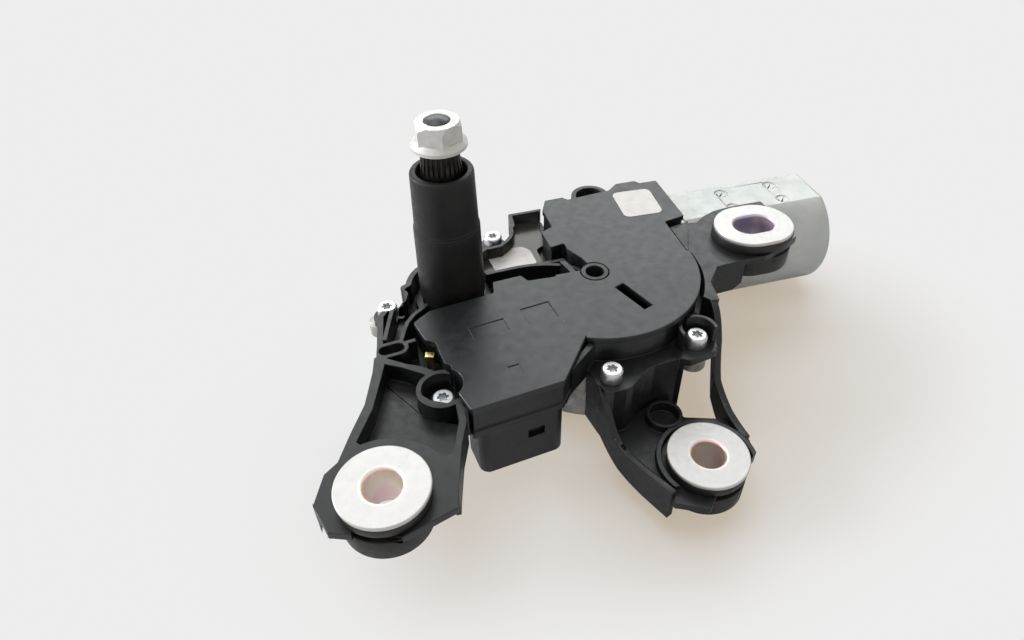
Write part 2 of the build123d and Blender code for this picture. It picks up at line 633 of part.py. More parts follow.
@cache
def well_plan():
    """Plan of the deep part of the housing, where the lever and rod swing."""
    sweep = LEVER_R + LINK_EYE_R + 0.8
    lever = disc((0, 0), sweep) & (Pos(0, -sweep + 2.0) * Rectangle(2 * sweep, 2 * sweep))
    hub = disc((0, 0), SPINDLE_R + 8.0)
    crank = disc(WHEEL, CRANK_R + LINK_EYE_R + 3.6)
    link = plan((-2.0, -sweep + 0.3), (WHEEL_X - 3.0, WHEEL_Y - CRANK_R - LINK_EYE_R - 2.6),
                (WHEEL_X + 3.0, WHEEL_Y + CRANK_R + LINK_EYE_R + 2.6), (4.0, 11.0))
    return lever + hub + crank + link


def housing():
    well = well_plan()
    outer_well = offset(well, CAST_WALL)
    bowl_bottom = BOWL_FLOOR - CAST_WALL
    shape = column(WHEEL, BOWL_R + CAST_WALL, bowl_bottom, HOUSING_TOP)
    shape += prism(outer_well, WELL_FLOOR - CAST_WALL, HOUSING_TOP)
    shape += along_x(Circle(WORM_BORE_R + CAST_WALL), WORM_BACK, MOUTH_X + CAST_WALL)
    shape += along_x(can_section(), MOUTH_X, CAN_X)
    shape += along_x(flange_section(), CAN_X - 4.0, CAN_X)
    shape += screw_bosses()
    shape -= column(WHEEL, BOWL_R, BOWL_FLOOR, HOUSING_TOP + 1)
    shape -= prism(well, WELL_FLOOR, HOUSING_TOP + 1)
    shape -= along_x(Circle(WORM_BORE_R), WORM_BACK + CAST_WALL, MOUTH_X + CAST_WALL + 1)
    shape -= along_x(can_section(-CAST_WALL), MOUTH_X + CAST_WALL, CAN_X + 1)
    for centre in SCREWS:
        shape -= column(centre, SCREW_R, HOUSING_TOP - BOSS_DEPTH + 0.8, HOUSING_TOP + 1)
    shape -= column((0, 0), NIPPLE_R, WELL_FLOOR - CAST_WALL - 1, WELL_FLOOR + 1)
    for y, z in can_screw_places():
        hole = Pos(y, z) * Circle(SCREW_R)
        shape -= along_x(hole, CAN_X - 12.0, CAN_X + 1)
    return shape


def can_screw_places():
    """Two opposite corners of the motor's flange, drawn about its axis."""
    angle = radians(CAN_SCREW_ANGLE)
    y, z = CAN_SCREW_REACH * cos(angle), CAN_SCREW_REACH * sin(angle)
    return [(-y, z), (y, -z)]


def flange_section():
    y, z = can_screw_places()[1]
    return RectangleRounded(2 * (y + FLANGE_MARGIN), 2 * (-z + FLANGE_MARGIN), FLANGE_MARGIN)


def toward_bowl(screw):
    """Point on the bowl's wall nearest to a screw."""
    reach = hypot(screw[0] - WHEEL_X, screw[1] - WHEEL_Y)
    share = BOWL_R / reach
    return (WHEEL_X + share * (screw[0] - WHEEL_X), WHEEL_Y + share * (screw[1] - WHEEL_Y))


def screw_bosses():
    """Bosses under the carrier's five screws, with the cast arm that reaches screw S1."""
    low = HOUSING_TOP - BOSS_DEPTH
    shape = Part()
    for centre in SCREWS:
        shape += column(centre, BOSS_R, low, HOUSING_TOP)
    links = [(SCREW_S1, (-3.0, -17.0)), (SCREW_S2, toward_bowl(SCREW_S2)),
             (SCREW_S3, toward_bowl(SCREW_S3)), (SCREW_S5, (-14.0, -6.0))]
    for start, end in links:
        shape += prism(strip([start, end], LUG_WIDTH), low + 0.6, HOUSING_TOP)
    shape += prism(strip([SCREW_S5, EAR_S5], LUG_WIDTH) + disc(EAR_S5, LUG_WIDTH / 2), low, HOUSING_TOP)
    shape += prism(strip([SCREW_S4, (SCREW_S4[0], MOTOR_Y - 8.0)], LUG_WIDTH), MOTOR_Z + 4, HOUSING_TOP)
    return shape


def housing_seal():
    """Flat seal between the housing's rim and the carrier."""
    cavity = disc(WHEEL, BOWL_R) + well_plan()
    rim = offset(cavity, CAST_WALL - 0.4) - offset(cavity, 0.4)
    for centre in SCREWS:
        rim -= disc(centre, SCREW_R + 0.4)
    return prism(rim, HOUSING_TOP, SPLIT_Z)


def housing_screws():
    shape = Part()
    for centre in SCREWS:
        shape += Pos(centre[0], centre[1], TRAY_FLOOR) * torx_screw()
    return shape


def torx_screw():
    """Screw standing on its seat at z = 0, shank downwards."""
    length = FLOOR_THICK + SEAL_THICK + BOSS_DEPTH - 1.2
    head = Cylinder(SCREW_HEAD_R, SCREW_HEAD_HEIGHT, align=(Align.CENTER, Align.CENTER, Align.MIN))
    head = chamfer(head.edges().group_by(Axis.Z)[-1], 0.5)
    star = Circle(1.25)
    for index in range(6):
        star += Rot(0, 0, 60 * index) * Pos(1.35, 0) * Circle(0.42)
    head -= prism(star, SCREW_HEAD_HEIGHT - 1.6, SCREW_HEAD_HEIGHT + 1)
    return head + column((0, 0), SCREW_R - 0.03, -length, 0.0)


# ---- spindle and its bearings ---------------------------------------------------------
def spindle():
    """Hollow shaft with a fluted cone for the wiper arm and a threaded end."""
    shape = column((0, 0), SPINDLE_R, LEVER_BOTTOM, CONE_Z)
    cone = Pos(0, 0, CONE_Z) * Cone(CONE_BASE_R, CONE_TOP_R, NUT_Z - 1.0 - CONE_Z,
                                   align=(Align.CENTER, Align.CENTER, Align.MIN))
    for index in range(24):
        flute = Rot(0, 0, 15 * index) * Pos(CONE_TOP_R + 0.25, 0, NUT_Z + 1.0) * Cylinder(0.45, 22.0)
        cone -= flute
    shape += cone
    shape += column((0, 0), THREAD_R, NUT_Z - 1.0, SPINDLE_TOP)
    return shape - column((0, 0), SPINDLE_BORE_R, LEVER_BOTTOM - 1, SPINDLE_TOP + 1)


def spindle_nut():
    nut = prism(RegularPolygon(NUT_FLATS / 2, 6, major_radius=False, rotation=30), NUT_Z, NUT_Z + NUT_HEIGHT)
    crown = Pos(0, 0, NUT_Z) * Cone(NUT_FLATS / 2 + 6.0, NUT_FLATS / 2, NUT_HEIGHT,
                                   align=(Align.CENTER, Align.CENTER, Align.MIN))
    nut &= crown
    flange = column((0, 0), NUT_FLANGE_R, NUT_Z, NUT_Z + 1.0)
    flange += Pos(0, 0, NUT_Z + 1.0) * Cone(NUT_FLANGE_R, NUT_FLATS / 2 + 0.4, NUT_FLANGE_THICK - 1.0,
                                            align=(Align.CENTER, Align.CENTER, Align.MIN))
    return nut + flange - column((0, 0), THREAD_R + 0.02, NUT_Z - 1, NUT_Z + NUT_HEIGHT + 1)


def nozzle_cap():
    """Domed plug in the spindle's end, which the washer jet leaves through."""
    edge = THREAD_R - 0.05
    low = SPINDLE_TOP + CAP_EDGE
    radius = (edge ** 2 + CAP_RISE ** 2) / (2 * CAP_RISE)
    ball = Pos(0, 0, low + CAP_RISE - radius) * Sphere(radius)
    dome = column((0, 0), edge, SPINDLE_TOP, low + 3) & ball
    return dome + column((0, 0), SPINDLE_BORE_R - 0.02, SPINDLE_TOP - 6.0, SPINDLE_TOP + 0.2)


def washer_tube():
    """Fixed washer-fluid tube up the hollow spindle, with its hose nipple below the housing."""
    under = WELL_FLOOR - CAST_WALL
    tube = column((0, 0), SPINDLE_BORE_R - AIR, under - 4.0, SPINDLE_TOP - 6.6)
    tube += column((0, 0), NIPPLE_R - 0.02, under, LEVER_BOTTOM - AIR - 0.2)
    tube += column((0, 0), NIPPLE_R + 1.6, under - 1.2, under)
    tube += column((0, 0), SPINDLE_BORE_R + 0.4, under - 4.0, under - 3.0)
    return tube - column((0, 0), 1.1, under - 5.0, SPINDLE_TOP)


def sleeve():
    """Rubber sleeve over the carrier's tube, stepped and slightly tapered."""
    profile = Polyline((TUBE_R + 0.02, TRAY_FLOOR + 2.0), (SLEEVE_BASE_R - 0.4, TRAY_FLOOR + 2.0),
                       (SLEEVE_BASE_R - 0.4, DECK_TOP - 1.0), (SLEEVE_BASE_R, DECK_TOP - 1.0),
                       (SLEEVE_BASE_R, SLEEVE_BASE_Z), (SLEEVE_STEP_R + 0.25, SLEEVE_STEP_Z),
                       (SLEEVE_STEP_R - 0.1, SLEEVE_STEP_Z + 0.5), (SLEEVE_TOP_R, SLEEVE_TOP - 0.6),
                       (SLEEVE_TOP_R - 0.6, SLEEVE_TOP), (SLEEVE_MOUTH_R, SLEEVE_TOP),
                       (SLEEVE_MOUTH_R, TUBE_TOP + 0.02), (TUBE_R + 0.02, TUBE_TOP + 0.02), close=True)
    return revolve(Plane.XZ * make_face(profile), Axis.Z)


def spindle_bush(bottom):
    ring = disc((0, 0), SPINDLE_R + BUSH_WALL - 0.02) - disc((0, 0), SPINDLE_R + RUN_FIT)
    return prism(ring, bottom, bottom + BUSH_LENGTH)


def spindle_seal():
    """Lip seal on top of the upper bush, inside the sleeve's mouth."""
    ring = disc((0, 0), SPINDLE_R + BUSH_WALL + 0.9) - disc((0, 0), SPINDLE_R + AIR)
    return prism(ring, TUBE_TOP + 0.0, CONE_Z - AIR)


def thrust_washer():
    ring = disc((0, 0), SPINDLE_R + 3.0) - disc((0, 0), SPINDLE_R + AIR)
    return prism(ring, SPLIT_Z - 0.9, SPLIT_Z)


def spindle_clip():
    """Retaining ring in the spindle's groove, just under the thrust washer."""
    ring = disc((0, 0), SPINDLE_R + 2.0) - disc((0, 0), SPINDLE_R)
    gap = Pos(-SPINDLE_R - 1.5, 0) * Rectangle(5.0, 3.0)
    return prism(ring - gap, SPLIT_Z - 2.2, SPLIT_Z - 0.9 - AIR)


# ---- linkage --------------------------------------------------------------------------
def link_plate(start, end, hub_start, hub_end, waist):
    """Flat link with round ends, seen from above."""
    return disc(start, hub_start) + disc(end, hub_end) + strip([start, end], waist)


def output_lever():
    plate = link_plate((0, 0), lever_pin_place(), SPINDLE_R + 3.2, LINK_EYE_R, 7.6)
    plate -= disc((0, 0), SPINDLE_R + 0.02)
    plate -= disc(lever_pin_place(), LINK_PIN_R + 0.02)
    return prism(plate, LEVER_BOTTOM, LEVER_TOP)


def lever_pin():
    return column(lever_pin_place(), LINK_PIN_R, LEVER_BOTTOM, ROD_TOP + 0.8)


def rod_waist():
    """Width of the rod's shank that passes the spindle at the end of the stroke."""
    x, y = lever_pin_place()
    crank_x, crank_y = crank_pin_place()
    along = atan2(crank_y - y, crank_x - x)
    end = radians(lever_angle() - swing())
    offset_to_axis = abs(LEVER_R * sin(end - along))
    return 2 * (offset_to_axis - SPINDLE_R - AIR)


def drive_rod():
    plate = link_plate(lever_pin_place(), crank_pin_place(), LINK_EYE_R, LINK_EYE_R, rod_waist())
    plate -= disc(lever_pin_place(), LINK_PIN_R + RUN_FIT)
    plate -= disc(crank_pin_place(), LINK_PIN_R + RUN_FIT)
    return prism(plate, ROD_TOP - LINK_THICK, ROD_TOP)


def crank_pin():
    return column(crank_pin_place(), LINK_PIN_R, ROD_TOP + AIR, MOTOR_Z)


# ---- worm wheel -----------------------------------------------------------------------
def wheel_profile():
    """Toothed rim seen from above, teeth with sloping flanks."""
    blank = disc(WHEEL, WHEEL_TIP_R)
    pitch = 2 * pi / WHEEL_TEETH
    gap_out = WHEEL_TIP_R * sin(pitch * 0.31)
    gap_in = WHEEL_ROOT_R * sin(pitch * 0.14)
    gap = plan((WHEEL_ROOT_R, -gap_in), (WHEEL_TIP_R + 1, -gap_out - 0.2),
               (WHEEL_TIP_R + 1, gap_out + 0.2), (WHEEL_ROOT_R, gap_in))
    gaps = [Pos(*WHEEL) * Rot(0, 0, degrees(pitch * index)) * gap for index in range(WHEEL_TEETH)]
    return blank - gaps


def worm_wheel():
    bottom = MOTOR_Z - WHEEL_WIDTH / 2
    top = bottom + WHEEL_WIDTH
    web_low = MOTOR_Z
    web_high = web_low + WHEEL_WEB
    shape = prism(wheel_profile(), bottom, top)
    hollow = disc(WHEEL, WHEEL_ROOT_R - WHEEL_RIM) - disc(WHEEL, WHEEL_HUB_R)
    shape -= prism(hollow, bottom - 1, web_low)
    shape -= prism(hollow, web_high, top + 1)
    shape += prism(disc(crank_pin_place(), LINK_PIN_R + 2.0) - disc(WHEEL, WHEEL_HUB_R), bottom, web_low)
    shape -= column(WHEEL, AXLE_R + RUN_FIT, bottom - 1, top + 1)
    shape -= column(WHEEL, WHEEL_HUB_R - 1.0, bottom - 1, bottom + CLIP_THICK + 0.8)
    return shape - column(crank_pin_place(), LINK_PIN_R + 0.02, bottom - 1, web_low)


def contact_disc():
    """Brass park track lying in the wheel's upper recess."""
    track = disc(WHEEL, WHEEL_ROOT_R - WHEEL_RIM - DISC_AIR) - disc(WHEEL, WHEEL_HUB_R + 4.0)
    slot = Pos(WHEEL_X + 20.0, WHEEL_Y) * Rectangle(4.0, 9.0)
    low = MOTOR_Z + WHEEL_WEB
    return prism(track - slot, low, low + DISC_THICK)


def wheel_axle():
    low = MOTOR_Z - WHEEL_WIDTH / 2 + 0.2
    return column(WHEEL, AXLE_R, low, DECK_TOP - 4.0)


def wheel_clip():
    ring = disc(WHEEL, WHEEL_HUB_R - 1.0 - AIR) - disc(WHEEL, AXLE_R)
    gap = Pos(WHEEL_X - 4.5, WHEEL_Y) * Rectangle(4.0, 2.4)
    low = MOTOR_Z - WHEEL_WIDTH / 2 + 0.5
    return prism(ring - gap, low, low + CLIP_THICK)


def wheel_washer():
    ring = disc(WHEEL, WHEEL_HUB_R) - disc(WHEEL, AXLE_R + AIR)
    top = HUB_SEAT
    return prism(ring, MOTOR_Z + WHEEL_WIDTH / 2 + AIR, top)


# ---- contacts -------------------------------------------------------------------------
def contact_springs():
    """Three brass blades that reach down to the park track."""
    foot = MOTOR_Z + WHEEL_WEB + DISC_THICK + AIR
    shape = Part()
    for x, y in spring_places():
        blade = Box(SPRING_WIDTH, SPRING_THICK, TRAY_FLOOR - foot)
        shape += Pos(x, y, (foot + TRAY_FLOOR) / 2) * Rot(0, 0, SPRING_ANGLE) * blade
    return shape


def bus_bars():
    """Flat brass strips on the carrier's floor from the connector pins to the springs."""
    shape = Part()
    for (x, y), (end_x, end_y) in zip(pin_places(), spring_places()):
        start = (plug_frame() * Pos(x, y)).position
        lane = strip([(start.X, start.Y), (start.X, end_y), (end_x, end_y)], BAR_WIDTH)
        shape += prism(lane, TRAY_FLOOR, TRAY_FLOOR + BAR_THICK)
    return shape


def connector_pins():
    shape = Part()
    low = PLUG_BOTTOM + PIN_RECESS
    for x, y in pin_places():
        shape += Pos(x, y, (low + TRAY_FLOOR) / 2) * Box(2.8, 0.8, TRAY_FLOOR - low)
    return plug_frame() * shape


def connector_housing():
    """Plug shroud under the carrier's front edge, open downwards."""
    centre = Pos(PLUG_SHIFT, PLUG_DEPTH / 2 + 0.6)
    block = centre * RectangleRounded(PLUG_WIDTH, PLUG_DEPTH, PLUG_CORNER)
    inside = (PLUG_WIDTH - 2 * PLUG_WALL, PLUG_DEPTH - 2 * PLUG_WALL)
    cavity = centre * RectangleRounded(*inside, PLUG_CORNER - PLUG_WALL)
    shape = prism(block, PLUG_BOTTOM, SPLIT_Z) - prism(cavity, PLUG_BOTTOM - 1, SPLIT_Z - PLUG_FLOOR)
    for x, y in pin_places():
        shape -= Pos(x, y, SPLIT_Z) * Box(2.8, 0.8, 4 * PLUG_FLOOR)
    window = Pos(5.4, 0.6, (PLUG_BOTTOM + SPLIT_Z) / 2 + 2.6) * Box(5.4, 2 * PLUG_WALL + 0.2, 3.6)
    return plug_frame() * (shape - window)


def ground_contact():
    """Brass tag beside the cover that earths the housing."""
    place = Pos(-13.5, -30.6) * Rot(0, 0, -17)
    post = prism(place * Rectangle(2.4, 1.0), TRAY_FLOOR, DECK_TOP - TAG_THICK)
    return post + prism(place * Rectangle(2.8, 2.2), DECK_TOP - TAG_THICK, DECK_TOP)


# ---- motor ----------------------------------------------------------------------------
def motor_can():
    shape = along_x(can_section(), CAN_X, CAN_END)
    rims = shape.faces().sort_by(Axis.X)[-1].edges()
    shape = fillet(rims, 1.6)
    shape += along_x(flange_section(), CAN_X, CAN_X + CAN_FLANGE_THICK)
    shape += along_x(Circle(END_BOSS_R), CAN_END - 0.5, CAN_END + END_BOSS_LENGTH)
    shape -= along_x(can_section(-CAN_WALL), CAN_X - 1, CAN_END - CAN_WALL)
    shape -= along_x(Circle(END_BOSS_R - CAN_WALL), CAN_END - 3, CAN_END + END_BOSS_LENGTH - CAN_WALL)
    for y, z in can_screw_places():
        shape -= along_x(Pos(y, z) * Circle(SCREW_R + 0.3), CAN_X - 1, CAN_X + CAN_FLANGE_THICK + 1)
    for x, y in DIMPLES:
        shape -= Pos(x, MOTOR_Y + y, MOTOR_Z + CAN_FLAT) * Cylinder(DIMPLE_R, 0.8)
    window = Pos(CAN_END - 6.0, MOTOR_Y, MOTOR_Z) * Rot(38, 0, 0) * Pos(0, -CAN_R, 0) * Box(4.6, 6.0, 2.6)
    return shape - window


def can_screws():
    shape = Part()
    for y, z in can_screw_places():
        shank = Pos(y, z) * Circle(SCREW_R - 0.03)
        head = Pos(y, z) * Circle(CAN_SCREW_HEAD_R)
        shape += along_x(shank, CAN_X - 4.0, CAN_X + CAN_FLANGE_THICK)
        shape += along_x(head, CAN_X + CAN_FLANGE_THICK, CAN_X + CAN_FLANGE_THICK + 2.2)
    return shape


def magnet(side):
    """Arc magnet against the can's round side; side is -1 or +1."""
    outer = CAN_R - CAN_WALL - 0.05
    ring = Circle(outer) - Circle(outer - MAGNET_THICK)
    wedge = ring & (Pos(side * outer, 0) * Rectangle(2 * outer - 6.0, 2 * CAN_FLAT - 8.0))
    return along_x(wedge, CORE_X - 2.0, CORE_X + CORE_LENGTH + 2.0)


def armature_shaft():
    return along_x(Circle(SHAFT_R), WORM_BACK + CAST_WALL + 2.4, CAN_END + END_BOSS_LENGTH - CAN_WALL - 0.6)


def worm():
    ring = Circle(WORM_R) - Circle(SHAFT_R)
    start = WHEEL_X - WORM_LENGTH / 2
    return along_x(ring, start, start + WORM_LENGTH)


def armature_core():
    section = Circle(CORE_R) - Circle(SHAFT_R)
    for index in range(CORE_SLOTS):
        section -= Rot(0, 0, 360 / CORE_SLOTS * index) * Pos(CORE_R - 2.0, 0) * Rectangle(6.4, 1.8)
    return along_x(section, CORE_X, CORE_X + CORE_LENGTH)


def armature_windings():
    ring = Circle(CORE_R - 1.6) - Circle(SHAFT_R)
    shape = along_x(ring, CORE_X - 5.0, CORE_X)
    return shape + along_x(ring, CORE_X + CORE_LENGTH, CORE_X + CORE_LENGTH + 6.0)


def commutator():
    return along_x(Circle(COMM_R) - Circle(SHAFT_R), CORE_X - 15.0, CORE_X - 5.6)


def brush_plate():
    outer = can_section(-CAST_WALL - 0.05)
    return along_x(outer - Circle(COMM_R + 3.0), CORE_X - 18.0, CORE_X - 15.4)


def brushes():
    shape = Part()
    for side in (-1, 1):
        block = Pos(side * (COMM_R + AIR + 3.6), 0) * Rectangle(7.2, 5.0)
        shape += along_x(block, CORE_X - 15.4, CORE_X - 8.4)
    return shape


def drive_bush():
    return along_x(Circle(WORM_BORE_R - 0.02) - Circle(SHAFT_R + RUN_FIT), MOUTH_X - 12.0, MOUTH_X - 3.0)


def rear_bush():
    start = WORM_BACK + CAST_WALL + 2.4
    return along_x(Circle(WORM_BORE_R - 0.02) - Circle(SHAFT_R + RUN_FIT), start, start + 7.0)


def end_bush():
    ring = Circle(END_BOSS_R - CAN_WALL - 0.02) - Circle(SHAFT_R + RUN_FIT)
    return along_x(ring, CAN_END - 2.6, CAN_END + 2.6)


def thrust_pad():
    return along_x(Circle(SHAFT_R + 1.5), WORM_BACK + CAST_WALL, WORM_BACK + CAST_WALL + 2.1)


# ---- rubber-mounted feet --------------------------------------------------------------
def foot_levels(top):
    """Washer underside and foot's bottom for a foot whose washer top is given."""
    return top - WASHER_THICK, top - FOOT_HEIGHT


def grommet(centre, top, slot=0.0, neck=RUBBER_NECK_R):
    """Rubber ring with two flanges gripping the arm's plate."""
    under_washer, bottom = foot_levels(top)
    plate_top = under_washer - RUBBER_FLANGE
    plate_under = plate_top - PLATE_THICK
    upper = stadium(slot, WASHER_R - 0.2)
    lower = stadium(slot, WASHER_R - 0.2)
    waist = stadium(slot, neck)
    shape = prism(waist, plate_under, plate_top) + prism(upper, plate_top, under_washer)
    shape += prism(lower, bottom, plate_under)
    shape -= prism(stadium(slot, FOOT_BORE_R + EYELET_WALL + 0.02), bottom - 1, top + 1)
    return Pos(*centre) * shape


def eyelet(centre, top, slot=0.0, washer=WASHER_R):
    """Zinc-plated flanged sleeve that the fixing bolt passes through."""
    under_washer, bottom = foot_levels(top)
    shape = prism(stadium(slot, washer), under_washer, top)
    shape += prism(stadium(slot, FOOT_BORE_R + EYELET_WALL), bottom, under_washer)
    shape = fillet(shape.edges().group_by(Axis.Z)[-1], 0.4)
    shape -= prism(stadium(slot, FOOT_BORE_R), bottom - 1, top + 1)
    mouth = shape.faces().sort_by(Axis.Z)[-1].inner_wires().edges()
    return Pos(*centre) * fillet(mouth, FOOT_MOUTH)


def build_all():
    """Every sub-part with its node name."""
    upper_bush_z = TUBE_TOP - BUSH_LENGTH
    parts = {
        "carrier": carrier(),
        "cover": cover(),
        "gear_housing": housing(),
        "housing_seal": housing_seal(),
        "housing_screws": housing_screws(),
        "spindle": spindle(),
        "spindle_nut": spindle_nut(),
        "nozzle_cap": nozzle_cap(),
        "washer_tube": washer_tube(),
        "spindle_sleeve": sleeve(),
        "spindle_bush_lower": spindle_bush(SPLIT_Z),
        "spindle_bush_upper": spindle_bush(upper_bush_z),
        "spindle_seal": spindle_seal(),
        "thrust_washer": thrust_washer(),
        "spindle_clip": spindle_clip(),
        "output_lever": output_lever(),
        "lever_pin": lever_pin(),
        "drive_rod": drive_rod(),
        "crank_pin": crank_pin(),
        "worm_wheel": worm_wheel(),
        "contact_disc": contact_disc(),
        "wheel_axle": wheel_axle(),
        "wheel_clip": wheel_clip(),
        "wheel_washer": wheel_washer(),
        "contact_springs": contact_springs(),
        "bus_bars": bus_bars(),
        "connector_housing": connector_housing(),
        "connector_pins": connector_pins(),
        "ground_contact": ground_contact(),
        "motor_can": motor_can(),
        "can_screws": can_screws(),
        "magnet_front": magnet(-1),
        "magnet_rear": magnet(1),
        "armature_shaft": armature_shaft(),
        "worm": worm(),
        "armature_core": armature_core(),
        "armature_windings": armature_windings(),
        "commutator": commutator(),
        "brush_plate": brush_plate(),
        "brushes": brushes(),
        "drive_bush": drive_bush(),
        "rear_bush": rear_bush(),
        "end_bush": end_bush(),
        "thrust_pad": thrust_pad(),
        "grommet_a": grommet(FOOT_A, FOOT_A_TOP),
        "grommet_b": grommet(FOOT_B, FOOT_B_TOP),
        "grommet_c": grommet(FOOT_C, FOOT_C_TOP, FOOT_SLOT, NECK_C),
        "eyelet_a": eyelet(FOOT_A, FOOT_A_TOP),
        "eyelet_b": eyelet(FOOT_B, FOOT_B_TOP),
        "eyelet_c": eyelet(FOOT_C, FOOT_C_TOP, FOOT_SLOT, WASHER_R - 0.5),
    }
    return parts


os.makedirs("parts", exist_ok=True)
for name, solid in build_all().items():
    write(name, solid)
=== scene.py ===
import math

import bmesh
import bpy
from mathutils import Matrix, Vector


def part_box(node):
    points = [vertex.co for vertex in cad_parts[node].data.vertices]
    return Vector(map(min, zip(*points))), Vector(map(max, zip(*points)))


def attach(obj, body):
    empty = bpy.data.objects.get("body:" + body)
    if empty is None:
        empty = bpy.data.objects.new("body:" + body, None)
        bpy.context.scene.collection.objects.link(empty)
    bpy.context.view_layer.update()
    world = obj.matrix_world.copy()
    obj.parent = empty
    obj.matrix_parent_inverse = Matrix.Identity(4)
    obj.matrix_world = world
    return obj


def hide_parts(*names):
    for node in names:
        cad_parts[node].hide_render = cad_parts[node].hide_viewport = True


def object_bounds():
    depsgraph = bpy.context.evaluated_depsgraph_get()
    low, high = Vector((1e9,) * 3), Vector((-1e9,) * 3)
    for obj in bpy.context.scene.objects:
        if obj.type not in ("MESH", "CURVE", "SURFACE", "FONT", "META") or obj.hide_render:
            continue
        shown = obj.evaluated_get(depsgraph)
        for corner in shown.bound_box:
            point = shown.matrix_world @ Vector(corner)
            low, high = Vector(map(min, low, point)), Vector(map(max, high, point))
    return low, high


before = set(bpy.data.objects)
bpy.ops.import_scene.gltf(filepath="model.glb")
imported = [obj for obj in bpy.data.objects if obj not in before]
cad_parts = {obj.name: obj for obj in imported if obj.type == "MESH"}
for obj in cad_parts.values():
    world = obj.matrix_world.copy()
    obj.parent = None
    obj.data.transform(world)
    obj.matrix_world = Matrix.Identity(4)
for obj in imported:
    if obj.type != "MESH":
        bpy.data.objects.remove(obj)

cad_low, cad_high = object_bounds()


# ---------------------------------------------------------------- Studio
# A plain pale table top under a wide soft window behind the part, a soft box overhead
# and a smaller one on the left. The table's shadows turn slightly beige, and away from
# the part its colour fades into the plain background.
table_gap = 0.0004
floor_z = cad_low[2] - table_gap
floor_mesh = bmesh.new()
bmesh.ops.create_grid(floor_mesh, x_segments=1, y_segments=1, size=3.0)
bmesh.ops.translate(floor_mesh, verts=floor_mesh.verts, vec=(0.0, 1.2, floor_z))
floor_data = bpy.data.meshes.new("floor")
floor_mesh.to_mesh(floor_data)
floor_mesh.free()
floor = bpy.data.objects.new("floor", floor_data)
bpy.context.scene.collection.objects.link(floor)

floor_paint = bpy.data.materials.new("floor_paint")
floor_paint.use_nodes = True
floor_shader = floor_paint.node_tree.nodes["Principled BSDF"]
floor_shader.inputs["Base Color"].default_value = (0.815, 0.838, 0.868, 1.0)
floor_shader.inputs["Roughness"].default_value = 0.7
floor_shader.inputs["Specular IOR Level"].default_value = 0.1
floor_data.materials.append(floor_paint)
floor_tree = floor_paint.node_tree
floor_seen = floor_tree.nodes.new("ShaderNodeBsdfDiffuse")
floor_seen.inputs["Color"].default_value = (0.391, 0.472, 0.581, 1.0)
floor_glow = floor_tree.nodes.new("ShaderNodeEmission")
floor_glow.inputs["Color"].default_value = (1.0, 0.838, 0.63, 1.0)
floor_glow.inputs["Strength"].default_value = 0.437
floor_sum = floor_tree.nodes.new("ShaderNodeAddShader")
floor_tree.links.new(floor_seen.outputs["BSDF"], floor_sum.inputs[0])
floor_tree.links.new(floor_glow.outputs["Emission"], floor_sum.inputs[1])
floor_far = floor_tree.nodes.new("ShaderNodeEmission")
floor_far.inputs["Color"].default_value = (0.847, 0.847, 0.845, 1.0)
floor_far.inputs["Strength"].default_value = 1.0
floor_place = floor_tree.nodes.new("ShaderNodeTexCoord")
floor_oval = floor_tree.nodes.new("ShaderNodeVectorMath")
floor_oval.operation = "MULTIPLY"
floor_oval.inputs[1].default_value = (0.65, 1.0, 0.0)
floor_tree.links.new(floor_place.outputs["Object"], floor_oval.inputs[0])
floor_reach = floor_tree.nodes.new("ShaderNodeVectorMath")
floor_reach.operation = "DISTANCE"
floor_reach.inputs[1].default_value = (0.0345, -0.02, 0.0)
floor_tree.links.new(floor_oval.outputs["Vector"], floor_reach.inputs[0])
floor_fade = floor_tree.nodes.new("ShaderNodeMapRange")
floor_fade.interpolation_type = "SMOOTHSTEP"
floor_fade.inputs["From Min"].default_value = 0.06
floor_fade.inputs["From Max"].default_value = 0.11
floor_tree.links.new(floor_reach.outputs["Value"], floor_fade.inputs["Value"])
floor_view = floor_tree.nodes.new("ShaderNodeMixShader")
floor_tree.links.new(floor_fade.outputs["Result"], floor_view.inputs["Fac"])
floor_tree.links.new(floor_sum.outputs["Shader"], floor_view.inputs[1])
floor_tree.links.new(floor_far.outputs["Emission"], floor_view.inputs[2])
floor_mix = floor_tree.nodes.new("ShaderNodeMixShader")
floor_ray = floor_tree.nodes.new("ShaderNodeLightPath")
floor_tree.links.new(floor_ray.outputs["Is Camera Ray"], floor_mix.inputs["Fac"])
floor_tree.links.new(floor_shader.outputs["BSDF"], floor_mix.inputs[1])
floor_tree.links.new(floor_view.outputs["Shader"], floor_mix.inputs[2])
floor_tree.links.new(floor_mix.outputs["Shader"], floor_tree.nodes["Material Output"].inputs["Surface"])


def seen_directly(tree):
    """A factor that is 1 for camera, glossy and transmission rays."""
    ray = tree.nodes.new("ShaderNodeLightPath")
    factor = ray.outputs["Is Camera Ray"]
    for kind in ("Is Glossy Ray", "Is Transmission Ray"):
        either = tree.nodes.new("ShaderNodeMath")
        either.operation = "MAXIMUM"
        tree.links.new(factor, either.inputs[0])
        tree.links.new(ray.outputs[kind], either.inputs[1])
        factor = either.outputs[0]
    return factor


